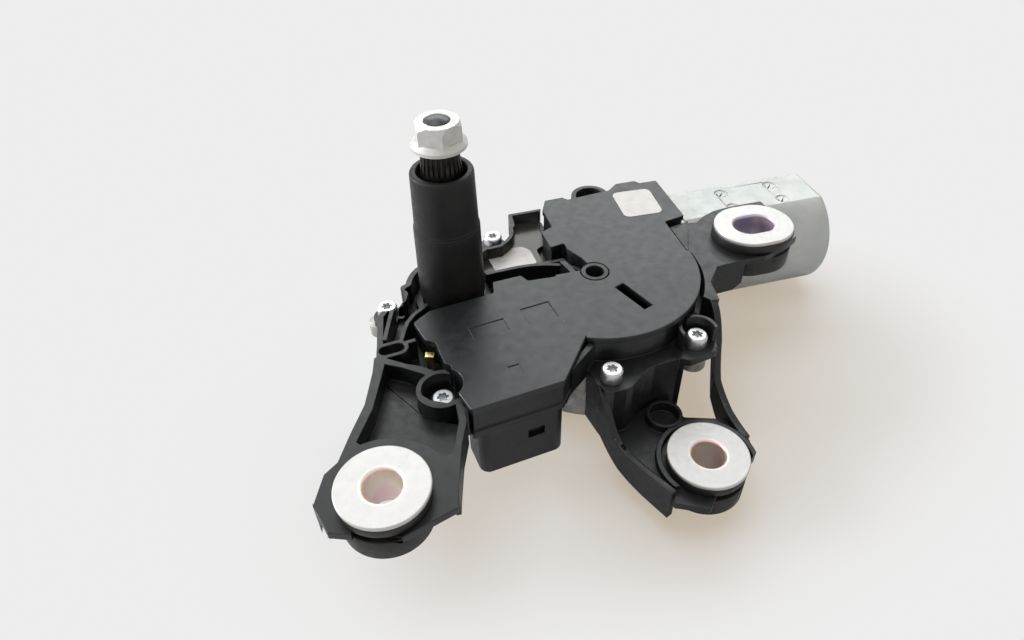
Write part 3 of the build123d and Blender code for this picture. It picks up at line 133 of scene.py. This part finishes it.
room = bpy.data.worlds.new("room")
bpy.context.scene.world = room
room.use_nodes = True
room_tree = room.node_tree
room_fill = room_tree.nodes["Background"]
room_fill.inputs["Color"].default_value = (1.0, 0.87, 0.72, 1.0)
room_fill.inputs["Strength"].default_value = 0.32
room_seen = room_tree.nodes.new("ShaderNodeBackground")
room_seen.inputs["Color"].default_value = (1.0, 0.995, 0.985, 1.0)
room_seen.inputs["Strength"].default_value = 0.8
room_mix = room_tree.nodes.new("ShaderNodeMixShader")
room_tree.links.new(seen_directly(room_tree), room_mix.inputs["Fac"])
room_tree.links.new(room_fill.outputs["Background"], room_mix.inputs[1])
room_tree.links.new(room_seen.outputs["Background"], room_mix.inputs[2])
room_tree.links.new(room_mix.outputs["Shader"], room_tree.nodes["World Output"].inputs["Surface"])


def soft_lamp(name, place, target, size, watts):
    """A soft box of the given width and height at place that faces target."""
    light = bpy.data.lights.new(name, "AREA")
    light.shape = "RECTANGLE"
    light.size, light.size_y = size
    light.energy = watts
    light.color = (0.966, 0.982, 1.0)
    lamp = bpy.data.objects.new(name, light)
    direction = Vector(target) - Vector(place)
    turn = direction.to_track_quat("-Z", "Y").to_matrix().to_4x4()
    lamp.matrix_world = Matrix.Translation(place) @ turn
    bpy.context.scene.collection.objects.link(lamp)


soft_lamp("lamp_window", (1.3, 4.9, 4.1), (0.04, 0.0, 0.0), (6.7, 3.8), 215.0)
soft_lamp("lamp_over", (-1.1, 0.8, 6.4), (0.04, 0.0, 0.0), (3.8, 3.8), 92.0)
soft_lamp("lamp_left", (-5.4, 2.1, 2.15), (0.03, -0.02, 0.0), (2.2, 2.2), 320.0)

camera_data = bpy.data.cameras.new("camera")
camera_data.sensor_width = 36.0
camera_data.lens = 25.51
camera_data.clip_start = 0.01
camera_data.clip_end = 20.0
camera = bpy.data.objects.new("camera", camera_data)
bpy.context.scene.collection.objects.link(camera)
bpy.context.scene.camera = camera
pitch, heading, roll = math.radians(41.85), math.radians(14.0), math.radians(-1.58)
forward = Vector((math.sin(heading) * math.cos(pitch), math.cos(heading) * math.cos(pitch), -math.sin(pitch)))
level_right = Vector((math.cos(heading), -math.sin(heading), 0.0))
level_up = level_right.cross(forward)
right = math.cos(roll) * level_right + math.sin(roll) * level_up
up = -math.sin(roll) * level_right + math.cos(roll) * level_up
turn = Matrix((right, up, -forward)).transposed().to_4x4()
camera.matrix_world = Matrix.Translation((-0.0273, -0.192, 0.1566)) @ turn
bpy.context.scene.view_settings.view_transform = "Standard"


# ---------------------------------------------------------- Gear housing
# One aluminium pressure die casting holds the wheel, the worm and the linkage. Its skin is
# dull grey with flow marks and a fine pebble from the die, and its edges are tumbled.
seam = 0.000004          # vertices closer than this lie on one seam between CAD faces


def noise(tree, scale, detail=3.0, stretch=(1.0, 1.0, 1.0)):
    """A noise on object coordinates, scale in repeats per metre."""
    coordinates = tree.nodes.new("ShaderNodeTexCoord")
    mapping = tree.nodes.new("ShaderNodeMapping")
    mapping.inputs["Scale"].default_value = stretch
    texture = tree.nodes.new("ShaderNodeTexNoise")
    texture.inputs["Scale"].default_value = scale
    texture.inputs["Detail"].default_value = detail
    tree.links.new(coordinates.outputs["Object"], mapping.inputs["Vector"])
    tree.links.new(mapping.outputs["Vector"], texture.inputs["Vector"])
    return texture.outputs["Fac"]


def ramp(tree, factor, stops):
    """A colour ramp through stops, each (position, (r, g, b))."""
    node = tree.nodes.new("ShaderNodeValToRGB")
    node.color_ramp.elements[0].position = stops[0][0]
    node.color_ramp.elements[0].color = (*stops[0][1], 1.0)
    node.color_ramp.elements[1].position = stops[-1][0]
    node.color_ramp.elements[1].color = (*stops[-1][1], 1.0)
    for position, colour in stops[1:-1]:
        node.color_ramp.elements.new(position).color = (*colour, 1.0)
    tree.links.new(factor, node.inputs["Fac"])
    return node.outputs["Color"]


def stretch_to(tree, factor, low, high, start=0.3, end=0.7):
    """Stretches a factor from start and end over low to high."""
    node = tree.nodes.new("ShaderNodeMapRange")
    node.inputs["From Min"].default_value = start
    node.inputs["From Max"].default_value = end
    node.inputs["To Min"].default_value = low
    node.inputs["To Max"].default_value = high
    tree.links.new(factor, node.inputs["Value"])
    return node.outputs["Result"]


def bump(tree, height, depth, before=None):
    """A bump of depth metres from a height factor, on top of an earlier bump."""
    node = tree.nodes.new("ShaderNodeBump")
    node.inputs["Distance"].default_value = depth
    tree.links.new(height, node.inputs["Height"])
    if before is not None:
        tree.links.new(before, node.inputs["Normal"])
    return node.outputs["Normal"]


def blend_colours(tree, factor, first, second):
    """A colour that goes from first to second with the factor."""
    node = tree.nodes.new("ShaderNodeMix")
    node.data_type = "RGBA"
    tree.links.new(factor, node.inputs["Factor"])
    for value, socket in ((first, node.inputs[6]), (second, node.inputs[7])):
        if isinstance(value, tuple):
            socket.default_value = (*value, 1.0)
        else:
            tree.links.new(value, socket)
    return node.outputs[2]


def specks(tree, scale, size):
    """A factor that is 1 in small round specks, scale in cells per metre, size of a cell."""
    coordinates = tree.nodes.new("ShaderNodeTexCoord")
    cells = tree.nodes.new("ShaderNodeTexVoronoi")
    cells.inputs["Scale"].default_value = scale
    tree.links.new(coordinates.outputs["Object"], cells.inputs["Vector"])
    return stretch_to(tree, cells.outputs["Distance"], 1.0, 0.0, size * 0.6, size)


def finish_with(name, stops, colour_scale, roughness, roughness_scale, grains, metallic=0.0, specular=0.5):
    """A finish with mottled colour and roughness and one or more grains of bump, scales per metre."""
    material = bpy.data.materials.new(name)
    material.use_nodes = True
    tree = material.node_tree
    principled = tree.nodes["Principled BSDF"]
    principled.inputs["Metallic"].default_value = metallic
    principled.inputs["Specular IOR Level"].default_value = specular
    tree.links.new(ramp(tree, noise(tree, colour_scale, 4.0), stops), principled.inputs["Base Color"])
    tree.links.new(stretch_to(tree, noise(tree, roughness_scale), *roughness), principled.inputs["Roughness"])
    normal = None
    for grain_scale, grain_depth in grains:
        normal = bump(tree, noise(tree, grain_scale, 2.0), grain_depth, normal)
    tree.links.new(normal, principled.inputs["Normal"])
    return material


def fleck(material, colour, scale, size, amount):
    """Scatters small specks of another colour over a finish."""
    tree = material.node_tree
    principled = tree.nodes["Principled BSDF"]
    base = principled.inputs["Base Color"].links[0].from_socket
    scaled = tree.nodes.new("ShaderNodeMath")
    scaled.operation = "MULTIPLY"
    scaled.inputs[1].default_value = amount
    tree.links.new(specks(tree, scale, size), scaled.inputs[0])
    tree.links.new(blend_colours(tree, scaled.outputs[0], base, colour), principled.inputs["Base Color"])


def dress(node_name, material):
    """Puts a finish on a solid in place of the plain one it came with."""
    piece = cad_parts[node_name]
    piece.data.materials.clear()
    piece.data.materials.append(material)
    return piece


def round_edges(piece, width, angle=30.0):
    """Breaks the sharp edges of a solid as a mould, a die or a tumbling drum leaves them."""
    weld = piece.modifiers.new("weld", "WELD")
    weld.merge_threshold = seam
    rounded = piece.modifiers.new("round", "BEVEL")
    rounded.width = width
    rounded.segments = 2
    rounded.limit_method = "ANGLE"
    rounded.angle_limit = math.radians(angle)
    rounded.use_clamp_overlap = False
    rounded.harden_normals = True


cast_skin = finish_with(
    "cast_skin", [(0.32, (0.3, 0.3, 0.29)), (0.5, (0.42, 0.42, 0.405)), (0.68, (0.54, 0.54, 0.52))], 240.0,
    (0.42, 0.6), 500.0, [(1500.0, 0.00008), (420.0, 0.00006)], metallic=0.5)
fleck(cast_skin, (0.07, 0.07, 0.07), 900.0, 0.22, 0.8)
round_edges(dress("gear_housing", cast_skin), 0.0003)


# ---------------------------------------------------- Wheel, worm and linkage
# The worm wheel is hobbed from natural acetal with the brass park track staked into its
# recess. Levers and rod are blanked from steel plate and phosphated, the pins are turned.
acetal = finish_with(
    "acetal", [(0.3, (0.66, 0.645, 0.6)), (0.7, (0.74, 0.725, 0.68))], 120.0,
    (0.34, 0.48), 300.0, [(2500.0, 0.00001)])
dress("worm_wheel", acetal)
dress("thrust_pad", acetal)

phenolic = finish_with(
    "phenolic", [(0.3, (0.16, 0.075, 0.03)), (0.7, (0.23, 0.12, 0.055))], 500.0,
    (0.5, 0.65), 700.0, [(3000.0, 0.00002)])
dress("brush_plate", phenolic)

phosphated = finish_with(
    "phosphated", [(0.3, (0.16, 0.16, 0.165)), (0.7, (0.26, 0.26, 0.265))], 380.0,
    (0.34, 0.52), 900.0, [(5000.0, 0.00001)], metallic=1.0)
for node_name in ("output_lever", "drive_rod", "wheel_axle", "armature_shaft", "worm", "lever_pin",
                  "crank_pin"):
    dress(node_name, phosphated)

plated = finish_with(
    "plated", [(0.3, (0.6, 0.61, 0.62)), (0.7, (0.7, 0.71, 0.72))], 420.0,
    (0.28, 0.42), 1200.0, [(4000.0, 0.00001)], metallic=1.0)
for node_name in ("thrust_washer", "spindle_clip", "wheel_clip", "wheel_washer"):
    dress(node_name, plated)

brass = finish_with(
    "brass", [(0.3, (0.6, 0.46, 0.2)), (0.7, (0.74, 0.6, 0.31))], 260.0,
    (0.22, 0.38), 800.0, [(4500.0, 0.00001)], metallic=1.0)
for node_name in ("contact_disc", "contact_springs", "bus_bars", "connector_pins"):
    dress(node_name, brass)


# ------------------------------------------------------- Spindle and its bushes
# A hollow steel spindle runs in two sintered bronze bushes. Below the nut it tapers and is
# fluted for the wiper arm. Its colour is far darker than the other phosphated steel: partly
# the dark phosphate coat, partly painted shade, as the fluted part stands in the sleeve's shadow.
spindle_steel = finish_with(
    "spindle_steel", [(0.3, (0.016, 0.014, 0.013)), (0.7, (0.04, 0.035, 0.032))], 300.0,
    (0.3, 0.5), 700.0, [(3500.0, 0.00002)], metallic=0.9)
dress("spindle", spindle_steel)

bronze = finish_with(
    "bronze", [(0.3, (0.3, 0.2, 0.11)), (0.7, (0.42, 0.3, 0.18))], 900.0,
    (0.45, 0.6), 1500.0, [(4000.0, 0.00003)], metallic=1.0)
for node_name in ("spindle_bush_lower", "spindle_bush_upper", "drive_bush", "rear_bush", "end_bush"):
    dress(node_name, bronze)


# ---------------------------------------------------------------- Motor
# The can is deep drawn from galvanised sheet with a fine spangle, and the press leaves
# fine draw lines along it. It is dimpled where the magnets are keyed.
galvanised = finish_with(
    "galvanised", [(0.3, (0.52, 0.56, 0.55)), (0.52, (0.6, 0.632, 0.62)), (0.7, (0.66, 0.68, 0.666))], 85.0,
    (0.44, 0.58), 260.0, [(2400.0, 0.000008)], metallic=0.35)
tree = galvanised.node_tree
principled = tree.nodes["Principled BSDF"]
draw_lines = noise(tree, 260.0, 4.0, (0.05, 1.0, 1.0))
tree.links.new(bump(tree, draw_lines, 0.00001, principled.inputs["Normal"].links[0].from_socket),
               principled.inputs["Normal"])
coordinates = tree.nodes.new("ShaderNodeTexCoord")
spangle = tree.nodes.new("ShaderNodeTexVoronoi")
spangle.inputs["Scale"].default_value = 210.0
tree.links.new(coordinates.outputs["Object"], spangle.inputs["Vector"])
spangle_tone = tree.nodes.new("ShaderNodeSeparateColor")
tree.links.new(spangle.outputs["Color"], spangle_tone.inputs["Color"])
tone = stretch_to(tree, spangle_tone.outputs["Red"], 0.0, 0.3, 0.0, 1.0)
tree.links.new(
    blend_colours(tree, tone, principled.inputs["Base Color"].links[0].from_socket, (0.44, 0.48, 0.47)),
    principled.inputs["Base Color"])
fleck(galvanised, (0.2, 0.2, 0.19), 700.0, 0.1, 0.5)
round_edges(dress("motor_can", galvanised), 0.00035)

ferrite = finish_with(
    "ferrite", [(0.3, (0.035, 0.035, 0.037)), (0.7, (0.06, 0.06, 0.063))], 300.0,
    (0.45, 0.6), 600.0, [(2500.0, 0.00003)])
for node_name in ("magnet_front", "magnet_rear"):
    dress(node_name, ferrite)

laminations = finish_with(
    "laminations", [(0.3, (0.3, 0.3, 0.31)), (0.7, (0.4, 0.4, 0.41))], 300.0,
    (0.4, 0.5), 600.0, [(1500.0, 0.00001)], metallic=1.0)
dress("armature_core", laminations)

enamelled_copper = finish_with(
    "enamelled_copper", [(0.3, (0.42, 0.15, 0.05)), (0.7, (0.6, 0.27, 0.12))], 700.0,
    (0.25, 0.4), 900.0, [(1800.0, 0.0001)], metallic=0.9)
for node_name in ("armature_windings", "commutator"):
    dress(node_name, enamelled_copper)

carbon = finish_with(
    "carbon", [(0.3, (0.02, 0.02, 0.02)), (0.7, (0.035, 0.035, 0.035))], 900.0,
    (0.4, 0.55), 1200.0, [(3000.0, 0.00002)])
dress("brushes", carbon)


# --------------------------------------------------------------- Carrier
# The carrier is one moulding of glass-filled black nylon: deck, three arms and the tube
# round the spindle. The tool is finely grained outside and polished on the deck's floor, and
# that floor is painted a lighter brown-grey: a painted reflection of the bright room.
deck_floor = -0.0046
foot_places = {"a": (-33.7, -79.2), "b": (62.1, -74.7), "c": (110.7, -3.2)}
nylon = finish_with(
    "nylon", [(0.3, (0.0062, 0.007, 0.0078)), (0.7, (0.0132, 0.0146, 0.0158))], 70.0,
    (0.3, 0.46), 420.0, [(5200.0, 0.000012), (700.0, 0.00001)], specular=0.42)
tree = nylon.node_tree
principled = tree.nodes["Principled BSDF"]
coordinates = tree.nodes.new("ShaderNodeTexCoord")
height = tree.nodes.new("ShaderNodeSeparateXYZ")
tree.links.new(coordinates.outputs["Object"], height.inputs["Vector"])
on_deck = tree.nodes.new("ShaderNodeMath")
on_deck.operation = "COMPARE"
on_deck.inputs[1].default_value = deck_floor
on_deck.inputs[2].default_value = 0.00005
tree.links.new(height.outputs["Z"], on_deck.inputs[0])
polish = tree.nodes.new("ShaderNodeMix")
tree.links.new(on_deck.outputs[0], polish.inputs["Factor"])
tree.links.new(principled.inputs["Roughness"].links[0].from_socket, polish.inputs["A"])
polish.inputs["B"].default_value = 0.2
tree.links.new(polish.outputs["Result"], principled.inputs["Roughness"])
# Painted reflection: the deck's floor gets a lighter brown-grey base colour that stands in for the bright
# room it mirrors.
tree.links.new(
    blend_colours(tree, on_deck.outputs[0], principled.inputs["Base Color"].links[0].from_socket,
                  (0.05, 0.047, 0.042)),
    principled.inputs["Base Color"])
fleck(nylon, (0.32, 0.32, 0.31), 110.0, 0.022, 0.8)
fleck(nylon, (0.1, 0.1, 0.1), 420.0, 0.05, 0.5)


def piece_from(mesh, name):
    """Makes an object of a bmesh and frees the bmesh."""
    data = bpy.data.meshes.new(name)
    mesh.to_mesh(data)
    mesh.free()
    piece = bpy.data.objects.new(name, data)
    bpy.context.scene.collection.objects.link(piece)
    return piece


def plan_prism(name, points, low, high):
    """A prism over a plan outline given in mm, between two heights."""
    mesh = bmesh.new()
    under = [mesh.verts.new((x / 1000, y / 1000, low)) for x, y in points]
    over = [mesh.verts.new((x / 1000, y / 1000, high)) for x, y in points]
    mesh.faces.new(under)
    mesh.faces.new(over)
    for index, vertex in enumerate(under):
        mesh.faces.new((under[index - 1], vertex, over[index], over[index - 1]))
    bmesh.ops.recalc_face_normals(mesh, faces=mesh.faces)
    return piece_from(mesh, name)


def circle_points(place, radius):
    """A circle in mm as 72 points."""
    count = 72
    steps = [2 * math.pi * index / count for index in range(count)]
    return [(place[0] + radius * math.cos(step), place[1] + radius * math.sin(step)) for step in steps]


def merged_copy(node, name):
    """A copy of a CAD node's mesh with its face seams merged."""
    mesh = bmesh.new()
    mesh.from_mesh(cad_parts[node].data)
    bmesh.ops.remove_doubles(mesh, verts=mesh.verts, dist=seam)
    return piece_from(mesh, name)


def shape_with(piece, tools):
    """Cuts or joins each tool with the piece in turn, then drops the tools."""
    for operation, tool in tools:
        step = piece.modifiers.new(tool.name, "BOOLEAN")
        step.operation = operation
        step.solver = "EXACT"
        step.object = tool
    shaped = bpy.data.meshes.new_from_object(piece.evaluated_get(bpy.context.evaluated_depsgraph_get()))
    piece.modifiers.clear()
    spent = [piece.data]
    piece.data = shaped
    for operation, tool in tools:
        spent.append(tool.data)
        bpy.data.objects.remove(tool)
    for data in spent:
        bpy.data.meshes.remove(data)


# Arm A's tray is cleared of the ribs that cross it, down to the floor between its walls.
# Then the edges that are too short to be rounded are closed up.
tray_floor, above_walls, overlap = -0.0049, 0.003, 0.001
wall_low, wall_high = tray_floor - overlap, above_walls + overlap
screw_place, screw_wall_radius, foot_wall_radius = (-12.7, -46.9), 7.6, 18.6
shortest_edge = 0.00005
tray_outline = [(-27.4, -32.4), (-29.4, -38.6), (-33.2, -49.6), (-38.8, -60.0), (-34.0, -66.0),
                (-18.6, -71.6), (-14.2, -70.4), (-10.4, -60.2), (-10.0, -52.0), (-14.6, -42.2),
                (-17.0, -39.6), (-23.0, -35.0)]
tray = plan_prism("tray", tray_outline, tray_floor, above_walls)
foot_wall = plan_prism("foot_wall", circle_points(foot_places["a"], foot_wall_radius), wall_low, wall_high)
screw_wall = plan_prism("screw_wall", circle_points(screw_place, screw_wall_radius), wall_low, wall_high)
shape_with(tray, [("DIFFERENCE", foot_wall), ("DIFFERENCE", screw_wall)])
carrier_shell = merged_copy("carrier", "carrier_shell")
shape_with(carrier_shell, [("DIFFERENCE", tray)])
carrier_mesh = bmesh.new()
carrier_mesh.from_mesh(carrier_shell.data)
bmesh.ops.remove_doubles(carrier_mesh, verts=carrier_mesh.verts, dist=shortest_edge)
carrier_mesh.to_mesh(carrier_shell.data)
carrier_mesh.free()
carrier_shell.data.materials.clear()
carrier_shell.data.materials.append(nylon)
round_edges(carrier_shell, 0.00022)
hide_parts("carrier")
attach(carrier_shell, "base")

round_edges(dress("connector_housing", nylon), 0.00025)


# ----------------------------------------------------------------- Cover
# The contact cover is a thin moulding of the same nylon in a finer grain, welded to the
# chamber's walls. It has three shallow bare panels for inserts and a deep vent slot.
cover_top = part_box("cover")[1].z
cover_panels = [((6.1, -28.0), (11.4, 5.4), 6.6), ((23.3, -25.25), (9.7, 7.9), 7.7),
                ((9.35, -47.4), (3.4, 3.5), 5.0)]
panel_depth = 0.0003
vent_place, vent_size, vent_turn, vent_depth = (55.3, -25.9), (13.9, 3.5), -68.8, 0.0035
slot_place, slot_size, slot_turn, fill_depth = (54.8, -21.6), (13.7, 3.9), -69.0, 0.0018


def turned_box(place, size, turn):
    """The four corners of a plan rectangle turned by an angle in degrees."""
    cosine, sine = math.cos(math.radians(turn)), math.sin(math.radians(turn))
    corners = [(size[0] / 2 * x, size[1] / 2 * y) for x, y in ((-1, -1), (1, -1), (1, 1), (-1, 1))]
    return [(place[0] + x * cosine - y * sine, place[1] + x * sine + y * cosine) for x, y in corners]


# The solid's shallow slot is filled before the vent is cut in front of it.
above_cover = cover_top + 0.003
cover_shell = merged_copy("cover", "cover_shell")
slot_fill = plan_prism(
    "slot_fill", turned_box(slot_place, slot_size, slot_turn), cover_top - fill_depth, cover_top)
cover_tools = [("UNION", slot_fill)]
for panel in cover_panels:
    cover_tools.append(
        ("DIFFERENCE", plan_prism("panel", turned_box(*panel), cover_top - panel_depth, above_cover)))
vent = plan_prism("vent", turned_box(vent_place, vent_size, vent_turn), cover_top - vent_depth, above_cover)
cover_tools.append(("DIFFERENCE", vent))
shape_with(cover_shell, cover_tools)

cover_nylon = finish_with(
    "cover_nylon", [(0.3, (0.0095, 0.0115, 0.0125)), (0.7, (0.018, 0.0205, 0.022))], 50.0,
    (0.3, 0.42), 300.0, [(6000.0, 0.00001), (900.0, 0.000006)], specular=0.45)
fleck(cover_nylon, (0.34, 0.34, 0.33), 120.0, 0.02, 0.8)
fleck(cover_nylon, (0.11, 0.11, 0.11), 460.0, 0.045, 0.5)
cover_shell.data.materials.clear()
cover_shell.data.materials.append(cover_nylon)

# Only the edges round the cover's top are rounded, on faces freed of their CAD triangles.
rim_width, flat_within, rim_angle = 0.00028, math.radians(0.6), math.radians(60.0)
rim_level = cover_top - 0.00001
lid_mesh = bmesh.new()
lid_mesh.from_mesh(cover_shell.data)
bmesh.ops.remove_doubles(lid_mesh, verts=lid_mesh.verts, dist=seam)
bmesh.ops.dissolve_limit(lid_mesh, angle_limit=flat_within, verts=lid_mesh.verts, edges=lid_mesh.edges)
rim_edges = [edge for edge in lid_mesh.edges
             if min(vertex.co.z for vertex in edge.verts) > rim_level
             and edge.calc_face_angle(0.0) > rim_angle]
bmesh.ops.bevel(lid_mesh, geom=rim_edges, offset=rim_width, offset_type="OFFSET", affect="EDGES",
                segments=3, profile=0.5, material=-1)
bmesh.ops.triangulate(lid_mesh, faces=lid_mesh.faces, quad_method="BEAUTY", ngon_method="BEAUTY")
lid_mesh.to_mesh(cover_shell.data)
lid_mesh.free()
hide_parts("cover")
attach(cover_shell, "base")


# -------------------------------------------------------------- Ground tag
# A brass tag stands beside the cover and earths the casting. It is blanked and bent up
# from strip, and its upper face is bright.
round_edges(dress("ground_contact", brass), 0.0001)


# ------------------------------------------------------------ Latch pocket
# Behind the window in the connector's front wall a thin sheet of the same nylon is put as
# painted shade: it stops the light from below, so the window is dark.
connector_place, connector_turn = (0.0082, -0.0572, 0.0), 7.2
shade_sheet_place, shade_sheet_size, shade_sheet_edge = (0.0054, 0.0026, -0.0164), (0.0074, 0.0006, 0.0062), 0.00012
shade_sheet_mesh = bmesh.new()
shade_sheet_box = bmesh.ops.create_cube(shade_sheet_mesh, size=1.0)["verts"]
bmesh.ops.scale(shade_sheet_mesh, verts=shade_sheet_box, vec=shade_sheet_size)
bmesh.ops.bevel(shade_sheet_mesh, geom=list(shade_sheet_mesh.edges), offset=shade_sheet_edge, offset_type="OFFSET", affect="EDGES",
                segments=2, profile=0.5, material=-1)
bmesh.ops.translate(shade_sheet_mesh, verts=shade_sheet_mesh.verts, vec=shade_sheet_place)
along_connector = Matrix.Rotation(math.radians(connector_turn), 3, "Z")
bmesh.ops.rotate(shade_sheet_mesh, verts=shade_sheet_mesh.verts, matrix=along_connector)
bmesh.ops.translate(shade_sheet_mesh, verts=shade_sheet_mesh.verts, vec=connector_place)
window_shade_sheet = piece_from(shade_sheet_mesh, "window_shade_sheet")
window_shade_sheet.data.materials.append(nylon)
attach(window_shade_sheet, "base")


# ---------------------------------------------------------------- Screws
# Zinc-plated thread-forming screws with a six-lobe recess hold the carrier to the casting
# and the can to its mouth. Their heads are cold formed and bright.
bright_zinc = finish_with(
    "bright_zinc", [(0.3, (0.52, 0.53, 0.54)), (0.7, (0.66, 0.67, 0.68))], 500.0,
    (0.26, 0.4), 1400.0, [(3500.0, 0.000012)], metallic=0.85)
for node_name in ("housing_screws", "can_screws"):
    round_edges(dress(node_name, bright_zinc), 0.00015)


# --------------------------------------------------- Sleeve, nut and nozzle
# A moulded rubber sleeve seals the spindle's tube in the panel. The flange nut is cold
# formed with a dull zinc-flake coat, and the jet's domed plug is dark grey nylon.
rubber = finish_with(
    "rubber", [(0.3, (0.009, 0.009, 0.0092)), (0.7, (0.016, 0.016, 0.0162))], 90.0,
    (0.42, 0.56), 500.0, [(3000.0, 0.00001)], specular=0.3)
fleck(rubber, (0.2, 0.2, 0.2), 130.0, 0.016, 0.6)
round_edges(dress("spindle_sleeve", rubber), 0.0004)
for node_name in ("housing_seal", "spindle_seal"):
    dress(node_name, rubber)

zinc_flake = finish_with(
    "zinc_flake", [(0.3, (0.6, 0.6, 0.585)), (0.7, (0.7, 0.7, 0.685))], 420.0,
    (0.42, 0.58), 900.0, [(1600.0, 0.00002)], metallic=0.4)
dress("spindle_nut", zinc_flake)

plug_nylon = finish_with(
    "plug_nylon", [(0.3, (0.03, 0.034, 0.038)), (0.7, (0.06, 0.065, 0.07))], 300.0,
    (0.22, 0.34), 600.0, [(2500.0, 0.00001)])
round_edges(dress("nozzle_cap", plug_nylon), 0.0001)
dress("washer_tube", nylon)


# ------------------------------------------------------------------ Feet
# Each foot is a flanged rubber bush with a steel eyelet through it. The eyelet's flange
# has a dull pale zinc coat, and its bore shows the tint of the passivation: pink and
# straw on the round ones, bluish on the slotted one.
straw_stain = [(0.36, (0.9, 0.7, 0.68)), (0.5, (0.9, 0.79, 0.74)), (0.64, (0.9, 0.84, 0.68))]
blue_stain = [(0.36, (0.42, 0.38, 0.56)), (0.5, (0.6, 0.5, 0.6)), (0.64, (0.78, 0.66, 0.64))]
bore_looks = {"a": ((5.7, 5.7), straw_stain), "b": ((5.7, 5.7), straw_stain), "c": ((8.0, 5.7), blue_stain)}
foot_rubber = finish_with(
    "foot_rubber", [(0.3, (0.01, 0.0098, 0.0096)), (0.7, (0.022, 0.0212, 0.0205))], 140.0,
    (0.42, 0.58), 400.0, [(1200.0, 0.00003), (4500.0, 0.00001)], specular=0.4)
fleck(foot_rubber, (0.2, 0.19, 0.18), 380.0, 0.04, 0.5)


def eyelet_finish(name, place, reach, stain):
    """Pale zinc flange with a stained bore of the given half sizes in mm, centred on one foot."""
    material = finish_with(
        name, [(0.28, (0.605, 0.605, 0.597)), (0.5, (0.628, 0.628, 0.62)), (0.72, (0.65, 0.65, 0.642))],
        300.0, (0.4, 0.56), 700.0, [(1300.0, 0.00002), (5000.0, 0.00001)], metallic=0.45)
    fleck(material, (0.16, 0.16, 0.155), 520.0, 0.06, 0.55)
    tree = material.node_tree
    principled = tree.nodes["Principled BSDF"]
    coordinates = tree.nodes.new("ShaderNodeTexCoord")
    centred = tree.nodes.new("ShaderNodeMapping")
    across, deep = 1000.0 / reach[0], 1000.0 / reach[1]
    centred.inputs["Scale"].default_value = (across, deep, 0.0)
    centred.inputs["Location"].default_value = (-place[0] / reach[0], -place[1] / reach[1], 0.0)
    tree.links.new(coordinates.outputs["Object"], centred.inputs["Vector"])
    distance = tree.nodes.new("ShaderNodeVectorMath")
    distance.operation = "LENGTH"
    tree.links.new(centred.outputs["Vector"], distance.inputs[0])
    in_bore = stretch_to(tree, distance.outputs["Value"], 1.0, 0.0, 0.94, 1.1)
    tint = ramp(tree, noise(tree, 130.0, 1.0), stain)
    polish = stretch_to(tree, in_bore, 0.45, 1.0, 0.0, 1.0)
    tree.links.new(polish, principled.inputs["Metallic"])
    tree.links.new(
        blend_colours(tree, in_bore, principled.inputs["Base Color"].links[0].from_socket, tint),
        principled.inputs["Base Color"])
    return material


for foot, place in foot_places.items():
    zinc_coat = eyelet_finish("zinc_coat_" + foot, place, *bore_looks[foot])
    round_edges(dress("eyelet_" + foot, zinc_coat), 0.00012, angle=50.0)
    round_edges(dress("grommet_" + foot, foot_rubber), 0.0003)


# ---------------------------------------------------------------- Labels
# Two pale film labels, both left bare: one on the cover's rear corner and one on the
# deck's floor behind the spindle. Each is die cut with rounded corners.
label_thick = 0.00012


def film_label(name, outline, level, corner):
    """A thin label with the outline's corners in mm, lying at a level in metres."""
    sheet = bmesh.new()
    corners = [sheet.verts.new((x / 1000, y / 1000, level)) for x, y in outline]
    face = sheet.faces.new(corners)
    bmesh.ops.recalc_face_normals(sheet, faces=[face])
    raised = bmesh.ops.extrude_face_region(sheet, geom=[face])
    top = [item for item in raised["geom"] if isinstance(item, bmesh.types.BMVert)]
    bmesh.ops.translate(sheet, verts=top, vec=(0.0, 0.0, label_thick))
    upright = [edge for edge in sheet.edges
               if abs(edge.verts[0].co.z - edge.verts[1].co.z) > label_thick / 2]
    bmesh.ops.bevel(sheet, geom=upright, offset=corner / 1000, offset_type="OFFSET", affect="EDGES",
                    segments=5, profile=0.5, material=-1)
    bmesh.ops.recalc_face_normals(sheet, faces=sheet.faces)
    piece = piece_from(sheet, name)
    piece.data.materials.append(label_film)
    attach(piece, "base")


label_film = finish_with(
    "label_film", [(0.3, (0.66, 0.652, 0.632)), (0.55, (0.73, 0.725, 0.71)), (0.75, (0.78, 0.775, 0.765))],
    240.0, (0.4, 0.52), 500.0, [(1500.0, 0.00001)])
fleck(label_film, (0.45, 0.44, 0.43), 500.0, 0.1, 0.35)
film_label("label_rear", [(69.6, 17.2), (84.6, 16.6), (85.6, 33.6), (70.4, 34.4)], cover_top, 2.4)
film_label("label_deck", [(16.6, 18.0), (18.2, 19.8), (22.7, 21.8), (30.5, 21.2), (32.8, 18.3), (33.1, 10.3),
                          (31.1, 9.5), (17.4, 9.5)], deck_floor, 0.8)
